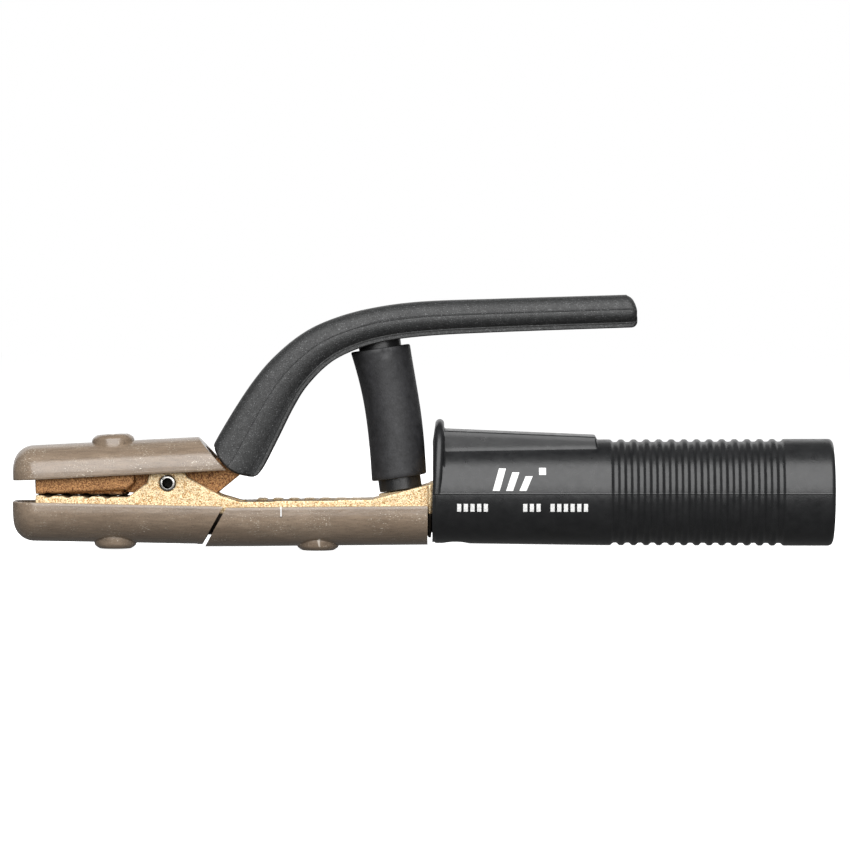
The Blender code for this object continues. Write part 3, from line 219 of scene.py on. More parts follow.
class Look:
    """A material whose colour, roughness and bump are built from noise in the object's own coordinates."""

    def __init__(self, name, roughness, metallic=0.0, specular=0.5):
        self.material = bpy.data.materials.new(name)
        self.material.use_nodes = True
        self.tree = self.material.node_tree
        self.shader = self.tree.nodes["Principled BSDF"]
        self.shader.inputs["Metallic"].default_value = metallic
        self.shader.inputs["Roughness"].default_value = roughness
        self.shader.inputs["Specular IOR Level"].default_value = specular
        self.place = self.node("ShaderNodeTexCoord").outputs["Object"]
        self.normal = None

    def node(self, kind, **values):
        made = self.tree.nodes.new(kind)
        for key, value in values.items():
            setattr(made, key, value)
        return made

    def link(self, start, end):
        self.tree.links.new(start, end)

    def feed(self, value, socket):
        """Gives a socket a colour, a number or another socket's output."""
        if isinstance(value, tuple):
            socket.default_value = (*value, 1)
        elif isinstance(value, (int, float)):
            socket.default_value = value
        else:
            self.link(value, socket)

    def grain(self, per_metre, detail=3.0, stretch=(1, 1, 1), shift=0.0):
        """Noise with features about 1 / per_metre across, stretched along some axes."""
        mapping = self.node("ShaderNodeMapping")
        mapping.inputs["Location"].default_value = (shift, shift, shift)
        mapping.inputs["Scale"].default_value = tuple(1 / s for s in stretch)
        texture = self.node("ShaderNodeTexNoise")
        texture.inputs["Scale"].default_value = per_metre
        texture.inputs["Detail"].default_value = detail
        texture.inputs["Roughness"].default_value = GRAIN_ROUGHNESS
        self.link(self.place, mapping.inputs["Vector"])
        self.link(mapping.outputs["Vector"], texture.inputs["Vector"])
        return texture.outputs["Fac"]

    def cells(self, per_metre):
        texture = self.node("ShaderNodeTexVoronoi")
        texture.inputs["Scale"].default_value = per_metre
        self.link(self.place, texture.inputs["Vector"])
        return texture.outputs["Distance"]

    def ramp(self, value, *stops):
        """Colours, or numbers, along a value, as (position, colour or number)."""
        made = self.node("ShaderNodeValToRGB")
        points = made.color_ramp.elements
        while len(points) < len(stops):
            points.new(0.5)
        for point, (position, colour) in zip(points, stops):
            point.position = position
            colour = (colour,) * 3 if isinstance(colour, (int, float)) else colour
            point.color = (*colour, 1)
        self.link(value, made.inputs["Fac"])
        return made.outputs["Color"]

    def between(self, low, high, *grain, **more):
        """Mottling from low to high, which are colours or numbers, by a grain."""
        return self.ramp(self.grain(*grain, **more), (0.3, low), (0.7, high))

    def mix(self, share, first, second, blend="MIX"):
        made = self.node("ShaderNodeMix", data_type="RGBA", blend_type=blend)
        for value, socket in ((share, 0), (first, 6), (second, 7)):
            self.feed(value, made.inputs[socket])
        return made.outputs[2]

    def maths(self, operation, first, second):
        made = self.node("ShaderNodeMath", operation=operation)
        self.feed(first, made.inputs[0])
        self.feed(second, made.inputs[1])
        return made.outputs["Value"]

    def remap(self, value, low, high):
        """A value that goes from 0 where value is low to 1 where it is high."""
        made = self.node("ShaderNodeMapRange")
        made.inputs["From Min"].default_value = low
        made.inputs["From Max"].default_value = high
        self.link(value, made.inputs["Value"])
        return made.outputs["Result"]

    def colour(self, value):
        self.link(value, self.shader.inputs["Base Color"])

    def rough(self, value):
        self.link(value, self.shader.inputs["Roughness"])

    def bump(self, value, depth):
        """Adds a height, in metres at value 1, to what is there already."""
        made = self.node("ShaderNodeBump")
        made.inputs["Distance"].default_value = depth
        self.link(value, made.inputs["Height"])
        if self.normal:
            self.link(self.normal, made.inputs["Normal"])
        self.normal = made.outputs["Normal"]
        self.link(self.normal, self.shader.inputs["Normal"])

    def edge_wear_and_sheen(self, start, end):
        """A value that is 1 along edges that stand out: rubbed wear on metal, a painted highlight on the
        brown moulding.
        """
        pointiness = self.node("ShaderNodeNewGeometry").outputs["Pointiness"]
        return self.ramp(pointiness, (start, 0.0), (end, 1.0))


def brown_moulding():
    look = Look("brown_moulding", 0.25, specular=0.75)
    dark, light = (0.205, 0.150, 0.105), (0.268, 0.202, 0.145)
    cloud = look.between(dark, light, 150, 4, (4, 1, 1))
    streaks = look.ramp(look.grain(1100, 5, (6, 1, 1), 0.3), (0.35, 0.74), (0.65, 1.0))
    colour = look.mix(0.85, cloud, streaks, "MULTIPLY")
    pores = look.ramp(look.grain(3200, 3, shift=0.5), (0.32, 0.55), (0.46, 1.0))
    colour = look.mix(0.8, colour, pores, "MULTIPLY")
    specks = look.ramp(look.grain(2900, 2, (1.6, 1, 1), 0.7), (0.62, 0.0), (0.70, 1.0))
    patches = look.ramp(look.grain(110, 2, (1, 1, 1), 1.3), (0.46, 0.0), (0.60, 1.0))
    flecks = look.mix(1.0, specks, patches, "MULTIPLY")
    colour = look.mix(flecks, colour, (0.66, 0.60, 0.50))
    # Painted highlight: the brown is lightened along its rims and edges.
    look.colour(look.mix(look.edge_wear_and_sheen(0.56, 0.64), colour, (0.58, 0.52, 0.45)))
    look.rough(look.between(0.19, 0.31, 420, 4, (3, 1, 1), 0.9))
    look.bump(look.grain(1300, 3, (3, 1, 1), 0.2), 0.00003)
    look.bump(look.grain(130, 2, (2, 1, 1), 0.5), 0.00006)
    return look.material


def black_nylon():
    look = Look("black_nylon", 0.32, specular=0.5)
    dark, light = (0.0085, 0.0088, 0.0095), (0.0150, 0.0153, 0.0160)
    look.colour(look.between(dark, light, 240, 4))
    look.rough(look.between(0.26, 0.38, 500, 4, shift=0.4))
    look.bump(look.grain(2400, 2), 0.00002)
    look.bump(look.grain(160, 2, shift=0.2), 0.00006)
    return look.material


def lever_moulding():
    look = Look("lever_moulding", 0.56, specular=0.5)
    base = look.between((0.0140, 0.0144, 0.0145), (0.0250, 0.0256, 0.0258), 500, 5)
    pores = look.ramp(look.grain(2800, 3, shift=1.7), (0.36, 0.35), (0.52, 1.0))
    specks = look.ramp(look.grain(3300, 2, shift=0.6), (0.60, 0.0), (0.72, 1.0))
    look.colour(look.mix(specks, look.mix(0.9, base, pores, "MULTIPLY"), (0.150, 0.152, 0.155)))
    look.rough(look.between(0.46, 0.64, 800, 3, shift=0.2))
    look.bump(look.grain(2300, 4), 0.00010)
    look.bump(look.grain(420, 3, shift=0.8), 0.00006)
    return look.material


def black_rubber():
    look = Look("black_rubber", 0.50, specular=0.4)
    look.colour(look.between((0.013, 0.013, 0.014), (0.026, 0.026, 0.028), 420, 5))
    look.rough(look.between(0.42, 0.60, 900, 3, shift=0.4))
    look.bump(look.grain(1500, 3), 0.00004)
    look.bump(look.grain(220, 3, shift=0.1), 0.00010)
    return look.material


PAINTED_SHADE_EDGE = 0.0006
TOP_SHADE_LOW = 0.0036
TOP_SHADE_HIGH = 0.0044


def cast_metal(name, colours, roughness, metallic, shade_below, shade_until):
    """Sand-cast metal: grainy, rubbed bright on its edges, near black with painted shade low down as far
    back as shade_until, and darkened with painted shade on level tops just above that.
    """
    dark, light, edge_wear_and_sheen = colours
    look = Look(name, roughness, metallic=metallic)
    base = look.ramp(look.grain(420, 5, shift=0.3), (0.30, tuple(0.80 * c for c in light)), (0.68, light))
    grains = look.ramp(look.grain(2300, 2, shift=0.9), (0.38, 1.0), (0.53, 0.0))
    base = look.mix(grains, base, dark)
    pits = look.ramp(look.grain(3600, 2, shift=2.9), (0.33, 0.25), (0.45, 1.0))
    base = look.mix(0.9, base, pits, "MULTIPLY")
    base = look.mix(look.edge_wear_and_sheen(0.54, 0.62), base, edge_wear_and_sheen)
    place = look.node("ShaderNodeSeparateXYZ")
    look.link(look.place, place.inputs["Vector"])
    past = look.maths("MAXIMUM", look.maths("SUBTRACT", place.outputs["X"], shade_until), 0.0)
    height = look.maths("ADD", past, place.outputs["Z"])
    # Painted shade: level tops just above the low band darkened to brown.
    base = look.mix(painted_top_shade(look, place.outputs["Z"], shade_below), base, (0.10, 0.062, 0.032))
    # Painted shade: near black below shade_below, as far back as shade_until.
    unshaded = look.remap(height, shade_below - PAINTED_SHADE_EDGE, shade_below)
    look.colour(look.mix(unshaded, (0.030, 0.022, 0.015), base))
    look.rough(look.between(roughness - 0.12, roughness + 0.12, 1700, 4, shift=0.5))
    look.bump(look.grain(2300, 3), 0.00020)
    look.bump(look.cells(1500), 0.00006)
    return look.material


def painted_top_shade(look, height, shade_below):
    """A mask of painted shade on tops: nearly 1 on level ground just above the painted shade low down, and 0
    on walls and on what stands higher.
    """
    upright = look.node("ShaderNodeSeparateXYZ")
    look.link(look.node("ShaderNodeNewGeometry").outputs["Normal"], upright.inputs["Vector"])
    level = look.ramp(upright.outputs["Z"], (0.55, 0.0), (0.85, 0.9))
    band = look.remap(height, shade_below + TOP_SHADE_HIGH, shade_below + TOP_SHADE_LOW)
    return look.mix(1.0, level, band, "MULTIPLY")


def steel(name, dark, light, roughness):
    look = Look(name, roughness, metallic=1.0)
    base = look.between(dark, light, 700, 5)
    look.colour(look.mix(look.edge_wear_and_sheen(0.51, 0.56), base, tuple(min(1.0, c * 1.6) for c in light)))
    look.rough(look.between(roughness - 0.1, roughness + 0.12, 1500, 4, shift=0.4))
    look.bump(look.grain(2600, 3), 0.00003)
    return look.material


def pin_steel(bore_radius):
    """Bright steel with painted shade, near black, inside its bore."""
    look = Look("pin_steel", 0.30, metallic=1.0)
    flat = look.node("ShaderNodeVectorMath", operation="MULTIPLY")
    flat.inputs[1].default_value = (1, 0, 1)
    look.link(look.place, flat.inputs[0])
    away = look.node("ShaderNodeVectorMath", operation="DISTANCE")
    away.inputs[1].default_value = (PIN.x, 0, PIN.z)
    look.link(flat.outputs["Vector"], away.inputs[0])
    outside = look.remap(away.outputs["Value"], bore_radius + 0.00004, bore_radius + 0.00016)
    bright = look.between((0.34, 0.33, 0.31), (0.60, 0.58, 0.55), 900, 5)
    # Painted shade: near black within the bore's radius, on its walls and on the web across it.
    look.colour(look.mix(outside, (0.010, 0.009, 0.008), bright))
    look.rough(look.between(0.22, 0.42, 1500, 4, shift=0.4))
    look.bump(look.grain(2600, 3), 0.00003)
    return look.material


def fibre():
    look = Look("red_fibre", 0.65)
    dark, light = (0.10, 0.035, 0.020), (0.20, 0.075, 0.040)
    look.colour(look.between(dark, light, 900, 5, (1, 1, 4)))
    look.rough(look.between(0.55, 0.8, 1200, 3))
    look.bump(look.grain(3000, 3), 0.00004)
    return look.material


def white_print():
    look = Look("white_print", 0.45)
    look.colour(look.ramp(look.grain(1800, 4), (0.35, (0.62, 0.62, 0.61)), (0.60, (0.86, 0.86, 0.85))))
    look.rough(look.between(0.38, 0.55, 900, 2))
    look.bump(look.grain(2500, 2), 0.00001)
    return look.material


BROWN = brown_moulding()
NYLON = black_nylon()
LEVER_SKIN = lever_moulding()
RUBBER = black_rubber()
# Painted shade on the brass casting below this line, where it lies inside the brown shells.
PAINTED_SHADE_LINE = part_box("body_insulator")[1].z - 0.0020
# Painted shade on the copper casting below this height, on the upper jaw's lower band and the metal behind
# its teeth, as far back as JAW_SHADE_END_X.
JAW_SHADE_Z = 0.0186
JAW_SHADE_END_X = -0.0925
BRASS_COLOURS = (0.46, 0.26, 0.095), (0.86, 0.68, 0.42), (0.95, 0.82, 0.58)
COPPER_COLOURS = (0.15, 0.055, 0.018), (0.46, 0.235, 0.090), (0.62, 0.38, 0.19)
BRASS = cast_metal("cast_brass", BRASS_COLOURS, 0.46, 0.5, PAINTED_SHADE_LINE, HANDLE_END_X)
COPPER_CAST = cast_metal("cast_copper", COPPER_COLOURS, 0.50, 0.6, JAW_SHADE_Z, JAW_SHADE_END_X)
STEEL = steel("worn_steel", (0.22, 0.21, 0.20), (0.42, 0.41, 0.39), 0.38)
PIN_BORE_RADIUS = 0.0016
PIN_STEEL = pin_steel(PIN_BORE_RADIUS)
DARK_STEEL = steel("blackened_steel", (0.035, 0.035, 0.037), (0.090, 0.088, 0.086), 0.42)
SPRING_STEEL = steel("spring_steel", (0.26, 0.26, 0.27), (0.48, 0.48, 0.49), 0.30)
COPPER = steel("rolled_copper", (0.55, 0.24, 0.13), (0.78, 0.40, 0.25), 0.34)
FIBRE = fibre()
PRINT = white_print()


# Brown insulators

WALL_ROUND = 0.0004
NOSE_DISH = 0.0010  # how far the solid nose lies inside its rim
BOSS_FACE_RADIUS = 0.0049
BOSS_RADIUS = 0.0067
BOSS_OVAL = 1.18
SLIT_X = PIN.x + 0.0359
SLIT_HALF_WIDTH = 0.00022
HEAD_BORE_RADIUS = 0.0036
SCREW_DEPTH = 0.0028
SHANK_HOLE_RADIUS = 0.0025
NOSE_PLAN_RADIUS = 0.0090
NOSE_SIDE_RADIUS = 0.0065
JAW_TIP_X = NOSE_X + 0.0076
JAW_BOSS_X = PIN.x - 0.0170
BODY_BOSS_X = PIN.x + 0.0473
SPLIT_X = PIN.x + 0.0176
SPLIT_GAP = 0.0011
SPLIT_SLANT = 0.56
SPLIT_EASE = 0.010  # length over which the slanted end straightens
STATION_STEP = 0.001
BOWL_STEPS = 44
LOWER_WALL = 0.0026
LOWER_CURVE_HEIGHT = 0.0100
JAW_RIM_SLOPE = 0.020
JAW_BASE_Z = 0.0031
JAW_BASE_SLOPE = 0.018
JAW_BOSS_DEPTH = 0.0042
BODY_RIM_Z = 0.0140
BODY_RIM_SLOPE = 0.008
BODY_BASE_Z = 0.0012
BODY_BASE_SLOPE = 0.009
BODY_BOSS_DEPTH = 0.0040
SLIT_LOW_Z = 0.0108
SLIT_DEPTH = 0.0006


def bowl(half_width, rim, base, height):
    """Half of a U across the holder, as (y, z): a straight side, then half an ellipse to the base."""
    way = 1 if base > rim else -1
    height = min(height, abs(base - rim) * 0.98)
    start = base - way * height
    points = [(half_width, rim + (start - rim) * i / 4) for i in range(4)]
    for i in range(BOWL_STEPS + 1):
        angle = math.pi * i / BOWL_STEPS
        points.append((half_width * math.cos(angle), start + way * height * math.sin(angle)))
    points += [(-half_width, start + (rim - start) * (i + 1) / 4) for i in range(4)]
    return points


def shell_ring(x, width, rim, base, height, wall, hollow, slant):
    """One closed ring of a shell: over the outside, round the rim, and back along the inside."""
    way = 1 if base > rim else -1
    outer = bowl(width, rim + way * WALL_ROUND, base, height)
    inner = bowl(width - wall, rim + way * WALL_ROUND, base - way * wall, height - wall)
    if not hollow:
        inner = [(y, rim + way * NOSE_DISH) for y, _ in inner]
    rim_out = [(width - WALL_ROUND * 0.3, rim + way * WALL_ROUND * 0.3), (width - WALL_ROUND, rim)]
    inside = width - wall
    rim_in = [(inside + WALL_ROUND, rim), (inside + WALL_ROUND * 0.3, rim + way * WALL_ROUND * 0.3)]
    right = [*reversed(rim_in), *reversed(rim_out)]
    left = [(-y, z) for y, z in [*rim_out, *rim_in]]
    loop = [*right, *outer, *left, *reversed(inner)]
    return [Vector((x + slant * (z - rim), y, z)) for y, z in loop]


def add_boss(shell, x, face, outwards, depth, place=Matrix()):
    """Joins a flared disc to the shell round its screw, and cuts the screw's seat in it."""
    turn = Matrix.Rotation(math.pi if outwards < 0 else 0, 4, "X")
    flip = place @ Matrix.Translation((x, 0, face)) @ turn
    profile = [(BOSS_FACE_RADIUS * s, 0) for s in (0.0, 0.5)]
    profile += [(BOSS_FACE_RADIUS, -0.00005), (BOSS_FACE_RADIUS + 0.0005, -0.00030)]
    profile += [(BOSS_RADIUS - 0.0003, -0.0010), (BOSS_RADIUS, -0.0017), (BOSS_RADIUS, -depth)]
    disc = turned("boss", profile, flip @ Matrix.Diagonal((1, BOSS_OVAL, 1, 1)), segments=72)
    combine(shell, disc, "UNION")
    bore = turned("seat", [(HEAD_BORE_RADIUS, -SCREW_DEPTH), (HEAD_BORE_RADIUS, 0.002)], flip)
    hole = turned("hole", [(SHANK_HOLE_RADIUS, -0.0095), (SHANK_HOLE_RADIUS, -0.001)], flip)
    cut(shell, bore, hole)


def nose_inset(distance):
    """How far the sides and the crown or base lie inside their full size, near the rounded nose."""
    plan = min(1.0, max(0.0, 1 - distance / NOSE_PLAN_RADIUS))
    side = min(1.0, max(0.0, 1 - distance / NOSE_SIDE_RADIUS))
    return NOSE_PLAN_RADIUS * (1 - math.sqrt(1 - plan**2)), NOSE_SIDE_RADIUS * (1 - math.sqrt(1 - side**2))


def nose_stations(front, rear):
    """Places along a jaw's shell: close together at the nose."""
    places = [front + NOSE_PLAN_RADIUS * (1 - math.cos(math.radians(6 * i))) for i in range(15)]
    return [*places, *spread(front + NOSE_PLAN_RADIUS, rear, STATION_STEP)]


def lower_jaw_shell():
    low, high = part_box("lower_jaw_insulator")
    rings = []
    for x in nose_stations(NOSE_X, SPLIT_X):
        side, under = nose_inset(x - NOSE_X)
        rim = high.z - JAW_RIM_SLOPE * (x - NOSE_X)
        base = JAW_BASE_Z - JAW_BASE_SLOPE * (x - NOSE_X) + under
        slant = SPLIT_SLANT * smooth_step((x - SPLIT_X + SPLIT_EASE) / SPLIT_EASE)
        width = high.y - side
        hollow = x > JAW_TIP_X - GAP
        rings.append(shell_ring(x, width, rim, base, LOWER_CURVE_HEIGHT, LOWER_WALL, hollow, slant))
    shell = skin("lower_jaw_shell", rings)
    add_boss(shell, JAW_BOSS_X, low.z, -1, JAW_BOSS_DEPTH)
    return settle(shell, "lower_jaw_insulator", BROWN)


def body_shell():
    low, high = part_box("body_insulator")
    front = SPLIT_X + SPLIT_GAP
    rings = []
    for x in spread(front, high.x, STATION_STEP):
        rim = BODY_RIM_Z + BODY_RIM_SLOPE * (x - SPLIT_X)
        base = BODY_BASE_Z + BODY_BASE_SLOPE * (x - SPLIT_X)
        slant = SPLIT_SLANT * smooth_step((front + SPLIT_EASE - x) / SPLIT_EASE)
        rings.append(shell_ring(x, high.y, rim, base, LOWER_CURVE_HEIGHT, LOWER_WALL, True, slant))
    shell = skin("body_shell", rings)
    add_boss(shell, BODY_BOSS_X, low.z, -1, BODY_BOSS_DEPTH)
    slit_low = (SLIT_X - SLIT_HALF_WIDTH, -0.02, SLIT_LOW_Z)
    slit_high = (SLIT_X + SLIT_HALF_WIDTH, -high.y + SLIT_DEPTH, 0.02)
    cut(shell, block("slit", slit_low, slit_high))
    settle(shell, "body_insulator", BROWN)
    slit_sliver(high.y)


def slit_sliver(side):
    """The pale strip that fills the slit on the near side."""
    low_corner = (SLIT_X - SLIT_HALF_WIDTH * 0.8, -side - 0.00002, 0.0112)
    high_corner = (SLIT_X + SLIT_HALF_WIDTH * 0.8, -side + 0.0004, 0.0143)
    sliver = block("slit_sliver", low_corner, high_corner)
    sliver.data.materials.append(PRINT)
    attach(sliver, "holder")


UPPER_TILT = math.radians(2.86)
UPPER_RIM = 0.0032
UPPER_CROWN = 0.0139
UPPER_CROWN_HEIGHT = 0.0088
UPPER_WALL = 0.0029
UPPER_BOSS_HEIGHT = 0.0022
UPPER_REAR = 0.0186
UPPER_REAR_SLANT = -0.80
UPPER_REAR_EASE = 0.016
UPPER_BOSS_DEPTH = 0.0045
JAW_FRAME = Matrix.Translation(PIN) @ Matrix.Rotation(-UPPER_TILT, 4, "Y")


def upper_jaw_shell():
    side_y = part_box("upper_jaw_insulator")[1].y
    front = (NOSE_X - PIN.x) / math.cos(UPPER_TILT)
    front += (UPPER_CROWN - NOSE_SIDE_RADIUS) * math.tan(UPPER_TILT)
    tip = (JAW_TIP_X - PIN.x) / math.cos(UPPER_TILT) - GAP
    boss_x = (JAW_BOSS_X - PIN.x) / math.cos(UPPER_TILT)
    face = UPPER_CROWN + UPPER_BOSS_HEIGHT
    rings = []
    for x in nose_stations(front, UPPER_REAR):
        side, over = nose_inset(x - front)
        slant = UPPER_REAR_SLANT * smooth_step((x - UPPER_REAR + UPPER_REAR_EASE) / UPPER_REAR_EASE)
        crown = UPPER_CROWN - over
        width = side_y - side
        rings.append(
            shell_ring(x, width, UPPER_RIM, crown, UPPER_CROWN_HEIGHT, UPPER_WALL, x > tip, slant)
        )
    shell = skin("upper_jaw_shell", [[JAW_FRAME @ point for point in ring] for ring in rings])
    add_boss(shell, boss_x, face, 1, UPPER_BOSS_DEPTH, JAW_FRAME)
    return settle(shell, "upper_jaw_insulator", BROWN)


# Castings

CASTING_VOXEL = 0.00034
CASTING_FACES = 90000
SAND_PER_METRE = 1400
SAND_HEIGHT = 0.00010
TEETH_START_X = JAW_TIP_X + 0.0016
TEETH_LENGTH = 0.0270
TEETH_Z = 0.01745
TEETH_SLOPE = 0.018
TEETH_CLEARANCE = 0.00022
BACKING_HEIGHT = 0.0022
BACKING_NEAR = -0.0040
BACKING_FAR = 0.0100


def back_teeth(mesh):
    """Metal left between the upper jaw's teeth beyond their near ends, as a casting leaves it."""
    grown = bmesh.new()
    grown.from_mesh(mesh)
    middle = Vector((
        TEETH_START_X + TEETH_LENGTH / 2,
        (BACKING_NEAR + BACKING_FAR) / 2,
        TEETH_Z + TEETH_CLEARANCE + BACKING_HEIGHT / 2,
    ))
    size = Matrix.Diagonal((TEETH_LENGTH, BACKING_FAR - BACKING_NEAR, BACKING_HEIGHT, 1))
    lean = Matrix.Rotation(math.atan(TEETH_SLOPE), 4, "Y")
    bmesh.ops.create_cube(grown, size=1.0, matrix=Matrix.Translation(middle) @ lean @ size)
    grown.to_mesh(mesh)
    grown.free()


def casting(node, material):
    """The CAD casting with its edges softened and its skin roughened by the sand."""
    obj = bpy.data.objects.new(node + "_rough", frame["nodes"][node].data.copy())
    bpy.context.scene.collection.objects.link(obj)
    if node == "lever_casting":
        back_teeth(obj.data)
    remesh = obj.modifiers.new("remesh", "REMESH")
    remesh.mode = "VOXEL"
    remesh.voxel_size = CASTING_VOXEL
    smooth = obj.modifiers.new("smooth", "SMOOTH")
    smooth.factor = 0.5
    smooth.iterations = 1
    apply_modifiers(obj)
    normals = [vert.normal.copy() for vert in obj.data.vertices]
    for vert, normal in zip(obj.data.vertices, normals):
        place = vert.co * SAND_PER_METRE
        height = 0.6 * noise.noise(place) + 0.4 * noise.noise(place * 2.1)
        vert.co += normal * height * SAND_HEIGHT
    thin = obj.modifiers.new("thin", "DECIMATE")
    thin.ratio = min(1.0, CASTING_FACES / len(obj.data.polygons) / 2)
    apply_modifiers(obj)
    obj.data.shade_smooth()
    return settle(obj, node, material)


# Handle

BORE_RADIUS = 0.0128
KEYWAY_HALF_WIDTH = 0.0058
KEYWAY_TOP = 0.0162
KEYWAY_LENGTH = 0.0471
RIDGE_HALF_WIDTH = 0.0091
RIDGE_FRONT = 0.0205
RIDGE_REAR = 0.0183
RIDGE_LENGTH = 0.0525
RIDGE_CROWN = 0.0006
GUARD_HEIGHT = HANDLE_HIGH.z - HANDLE_AXIS_Z
GUARD_HALF_WIDTH = 0.0166
GUARD_POWER = 2.5
GUARD_THICKNESS = 0.0028
GUARD_LEAN = 0.0010
GUARD_FILLET = 0.0016
GRIP_START_X = HANDLE_FRONT_X + 0.0579
GRIP_PITCH = 0.0040
GRIP_GROOVES = 14
GRIP_DEPTH = 0.0008
END_ROUND = 0.0016
FRONT_TAPER = 0.0009
MID_TAPER = 0.0002
MID_X = HANDLE_FRONT_X + 0.0531
SEAM_HEIGHT = 0.00012
SEAM_HALF_WIDTH = 0.0002
RIDGE_CORNER = 0.0016
RIDGE_FOOT = 0.0009
RIDGE_END_EASE = 0.0011
FLANGE_EASE = 0.0003


def tube_radius(x):
    if x < MID_X:
        share = (x - HANDLE_FRONT_X) / (MID_X - HANDLE_FRONT_X)
        return HANDLE_RADIUS - FRONT_TAPER + (FRONT_TAPER - MID_TAPER) * share
    return HANDLE_RADIUS - MID_TAPER * (HANDLE_END_X - x) / (HANDLE_END_X - MID_X)


def groove_depth(x):
    """Depth of the grip's grooves: rounded valleys and crests of about the same width."""
    place = (x - GRIP_START_X) / GRIP_PITCH
    if place < -0.5 or place > GRIP_GROOVES - 0.5:
        return 0.0
    wave = 0.5 + 0.5 * math.cos(2 * math.pi * place)
    return GRIP_DEPTH * smooth_step((wave - 0.12) / 0.76)


def outer_radius(x, angle):
    """The handle's outside: the ribbed tube, and the ridge along its top with a filleted foot."""
    radius = tube_radius(x) - groove_depth(x)
    seam = abs(math.sin(angle)) * radius
    radius += SEAM_HEIGHT * max(0.0, 1 - seam / SEAM_HALF_WIDTH)
    share = (x - HANDLE_FRONT_X) / RIDGE_LENGTH
    if share < 1 and math.sin(angle) > 0.3:
        top = RIDGE_FRONT + (RIDGE_REAR - RIDGE_FRONT) * share
        side = RIDGE_HALF_WIDTH / max(abs(math.cos(angle)), 0.001)
        across = abs(math.cos(angle) / math.sin(angle)) * top / RIDGE_HALF_WIDTH
        crowned = top - RIDGE_CROWN * min(1.0, across) ** 2
        ridge = soft_min(crowned / math.sin(angle), side, RIDGE_CORNER)
        end = smooth_step((1 - share) * RIDGE_LENGTH / RIDGE_END_EASE)
        raised = soft_max(radius, ridge, RIDGE_FOOT)
        return radius + (raised - radius) * end
    return radius


def guard_radius(angle):
    power = GUARD_POWER
    across = abs(math.cos(angle)) / GUARD_HALF_WIDTH
    up = abs(math.sin(angle)) / GUARD_HEIGHT
    return (across**power + up**power) ** (-1 / power)


def guard_edge():
    """Points round the flange's edge, as (distance from the handle's front, distance inside its rim)."""
    half = GUARD_THICKNESS / 2
    turn = [math.radians(a) for a in range(0, 181, 15)]
    rim = [(half - half * math.cos(a), half * (1 - math.sin(a))) for a in turn]
    wall = [(GUARD_THICKNESS, half + 0.0008 * i) for i in range(1, 3)]
    return [*rim, *wall]


def inner_radius(x, angle):
    if x < HANDLE_FRONT_X + KEYWAY_LENGTH and math.sin(angle) > 0.1:
        side = KEYWAY_HALF_WIDTH / max(abs(math.cos(angle)), 0.001)
        return max(BORE_RADIUS, min(KEYWAY_TOP / math.sin(angle), side))
    return BORE_RADIUS


def handle_angles():
    """Directions round the handle: closer together at the ridge's sides and at the mould's seam."""
    quarter = [0, 0.35, 0.7, 1.1, 1.8, *spread(3, 48, 2.5), *spread(49, 74, 0.8), *spread(76, 90, 2)]
    half = [*quarter, *[180 - a for a in reversed(quarter[:-1])]]
    lower = [0, 0.35, 0.7, 1.1, 1.8, *spread(3, 90, 2.9)]
    below = [*[180 + a for a in lower[1:]], *[360 - a for a in reversed(lower[1:-1])]]
    return [math.radians(a) for a in [*half, *below]]


HANDLE_ANGLES = handle_angles()


def handle_ring(x, radius_at, lean=0.0):
    """A ring round the handle's axis, with its top leaning back by lean."""
    points = []
    for angle in HANDLE_ANGLES:
        radius = radius_at(angle)
        shift = lean * max(0.0, math.sin(angle))
        height = HANDLE_AXIS_Z + radius * math.sin(angle)
        points.append(Vector((x + shift, radius * math.cos(angle), height)))
    return points


def bore_rings():
    """The hollow, from the rear to the keyway at the front."""
    key_end = HANDLE_FRONT_X + KEYWAY_LENGTH
    places = (HANDLE_END_X - 0.0006, key_end + 0.0004, key_end + 0.0001)
    rings = [handle_ring(x, lambda angle: BORE_RADIUS) for x in places]
    rings.append(handle_ring(key_end - 0.0001, lambda angle: inner_radius(key_end - 0.0001, angle)))
    rings.append(handle_ring(HANDLE_FRONT_X + 0.0002, lambda angle: inner_radius(HANDLE_FRONT_X, angle)))
    return rings


def flange_ring(distance, inset):
    x = HANDLE_FRONT_X + distance

    def rim(angle):
        radius = outer_radius(x, angle)
        if distance < END_ROUND / 2:
            radius -= FLANGE_EASE
        if math.sin(angle) < 0:
            return radius
        return max(radius, guard_radius(angle) - inset)

    return handle_ring(x, rim, GUARD_LEAN)


def fillet_ring(step):
    """One of six rings down the fillet behind the flange."""
    turn = math.radians(15 * step)
    x = HANDLE_FRONT_X + GUARD_THICKNESS + GUARD_FILLET * (1 - math.cos(turn))
    lift = GUARD_FILLET * (1 - math.sin(turn))

    def foot(angle):
        radius = outer_radius(x, angle)
        if math.sin(angle) < 0:
            return radius
        raised = radius + lift * smooth_step(math.sin(angle) * 4)
        return max(radius, min(guard_radius(angle) - 0.002, raised))

    return handle_ring(x, foot, GUARD_LEAN * (1 - step / 6))


def grip_places():
    """Places along the tube: closer together at the ridge's end and in the grip's grooves."""
    start = HANDLE_FRONT_X + GUARD_THICKNESS + GUARD_FILLET
    ridge_end = HANDLE_FRONT_X + RIDGE_LENGTH
    last_groove = GRIP_START_X + GRIP_PITCH * (GRIP_GROOVES - 0.5)
    return [
        *spread(start + 0.001, ridge_end - 0.0014, 0.003),
        *spread(ridge_end - 0.0012, ridge_end + 0.0002, 0.0002),
        *spread(ridge_end + 0.001, GRIP_START_X - GRIP_PITCH / 2, 0.0015),
        *spread(GRIP_START_X - GRIP_PITCH / 2 + 0.0004, last_groove, 0.0004),
        *spread(last_groove + 0.002, HANDLE_END_X - END_ROUND - 0.001, 0.003),
    ]


def end_ring(step):
    """One of the rings round the handle's rear edge."""
    turn = math.radians(15 * step)
    x = HANDLE_END_X - END_ROUND * (1 - math.sin(turn))
    return handle_ring(x, lambda angle: outer_radius(x, angle) - END_ROUND * (1 - math.cos(turn)))


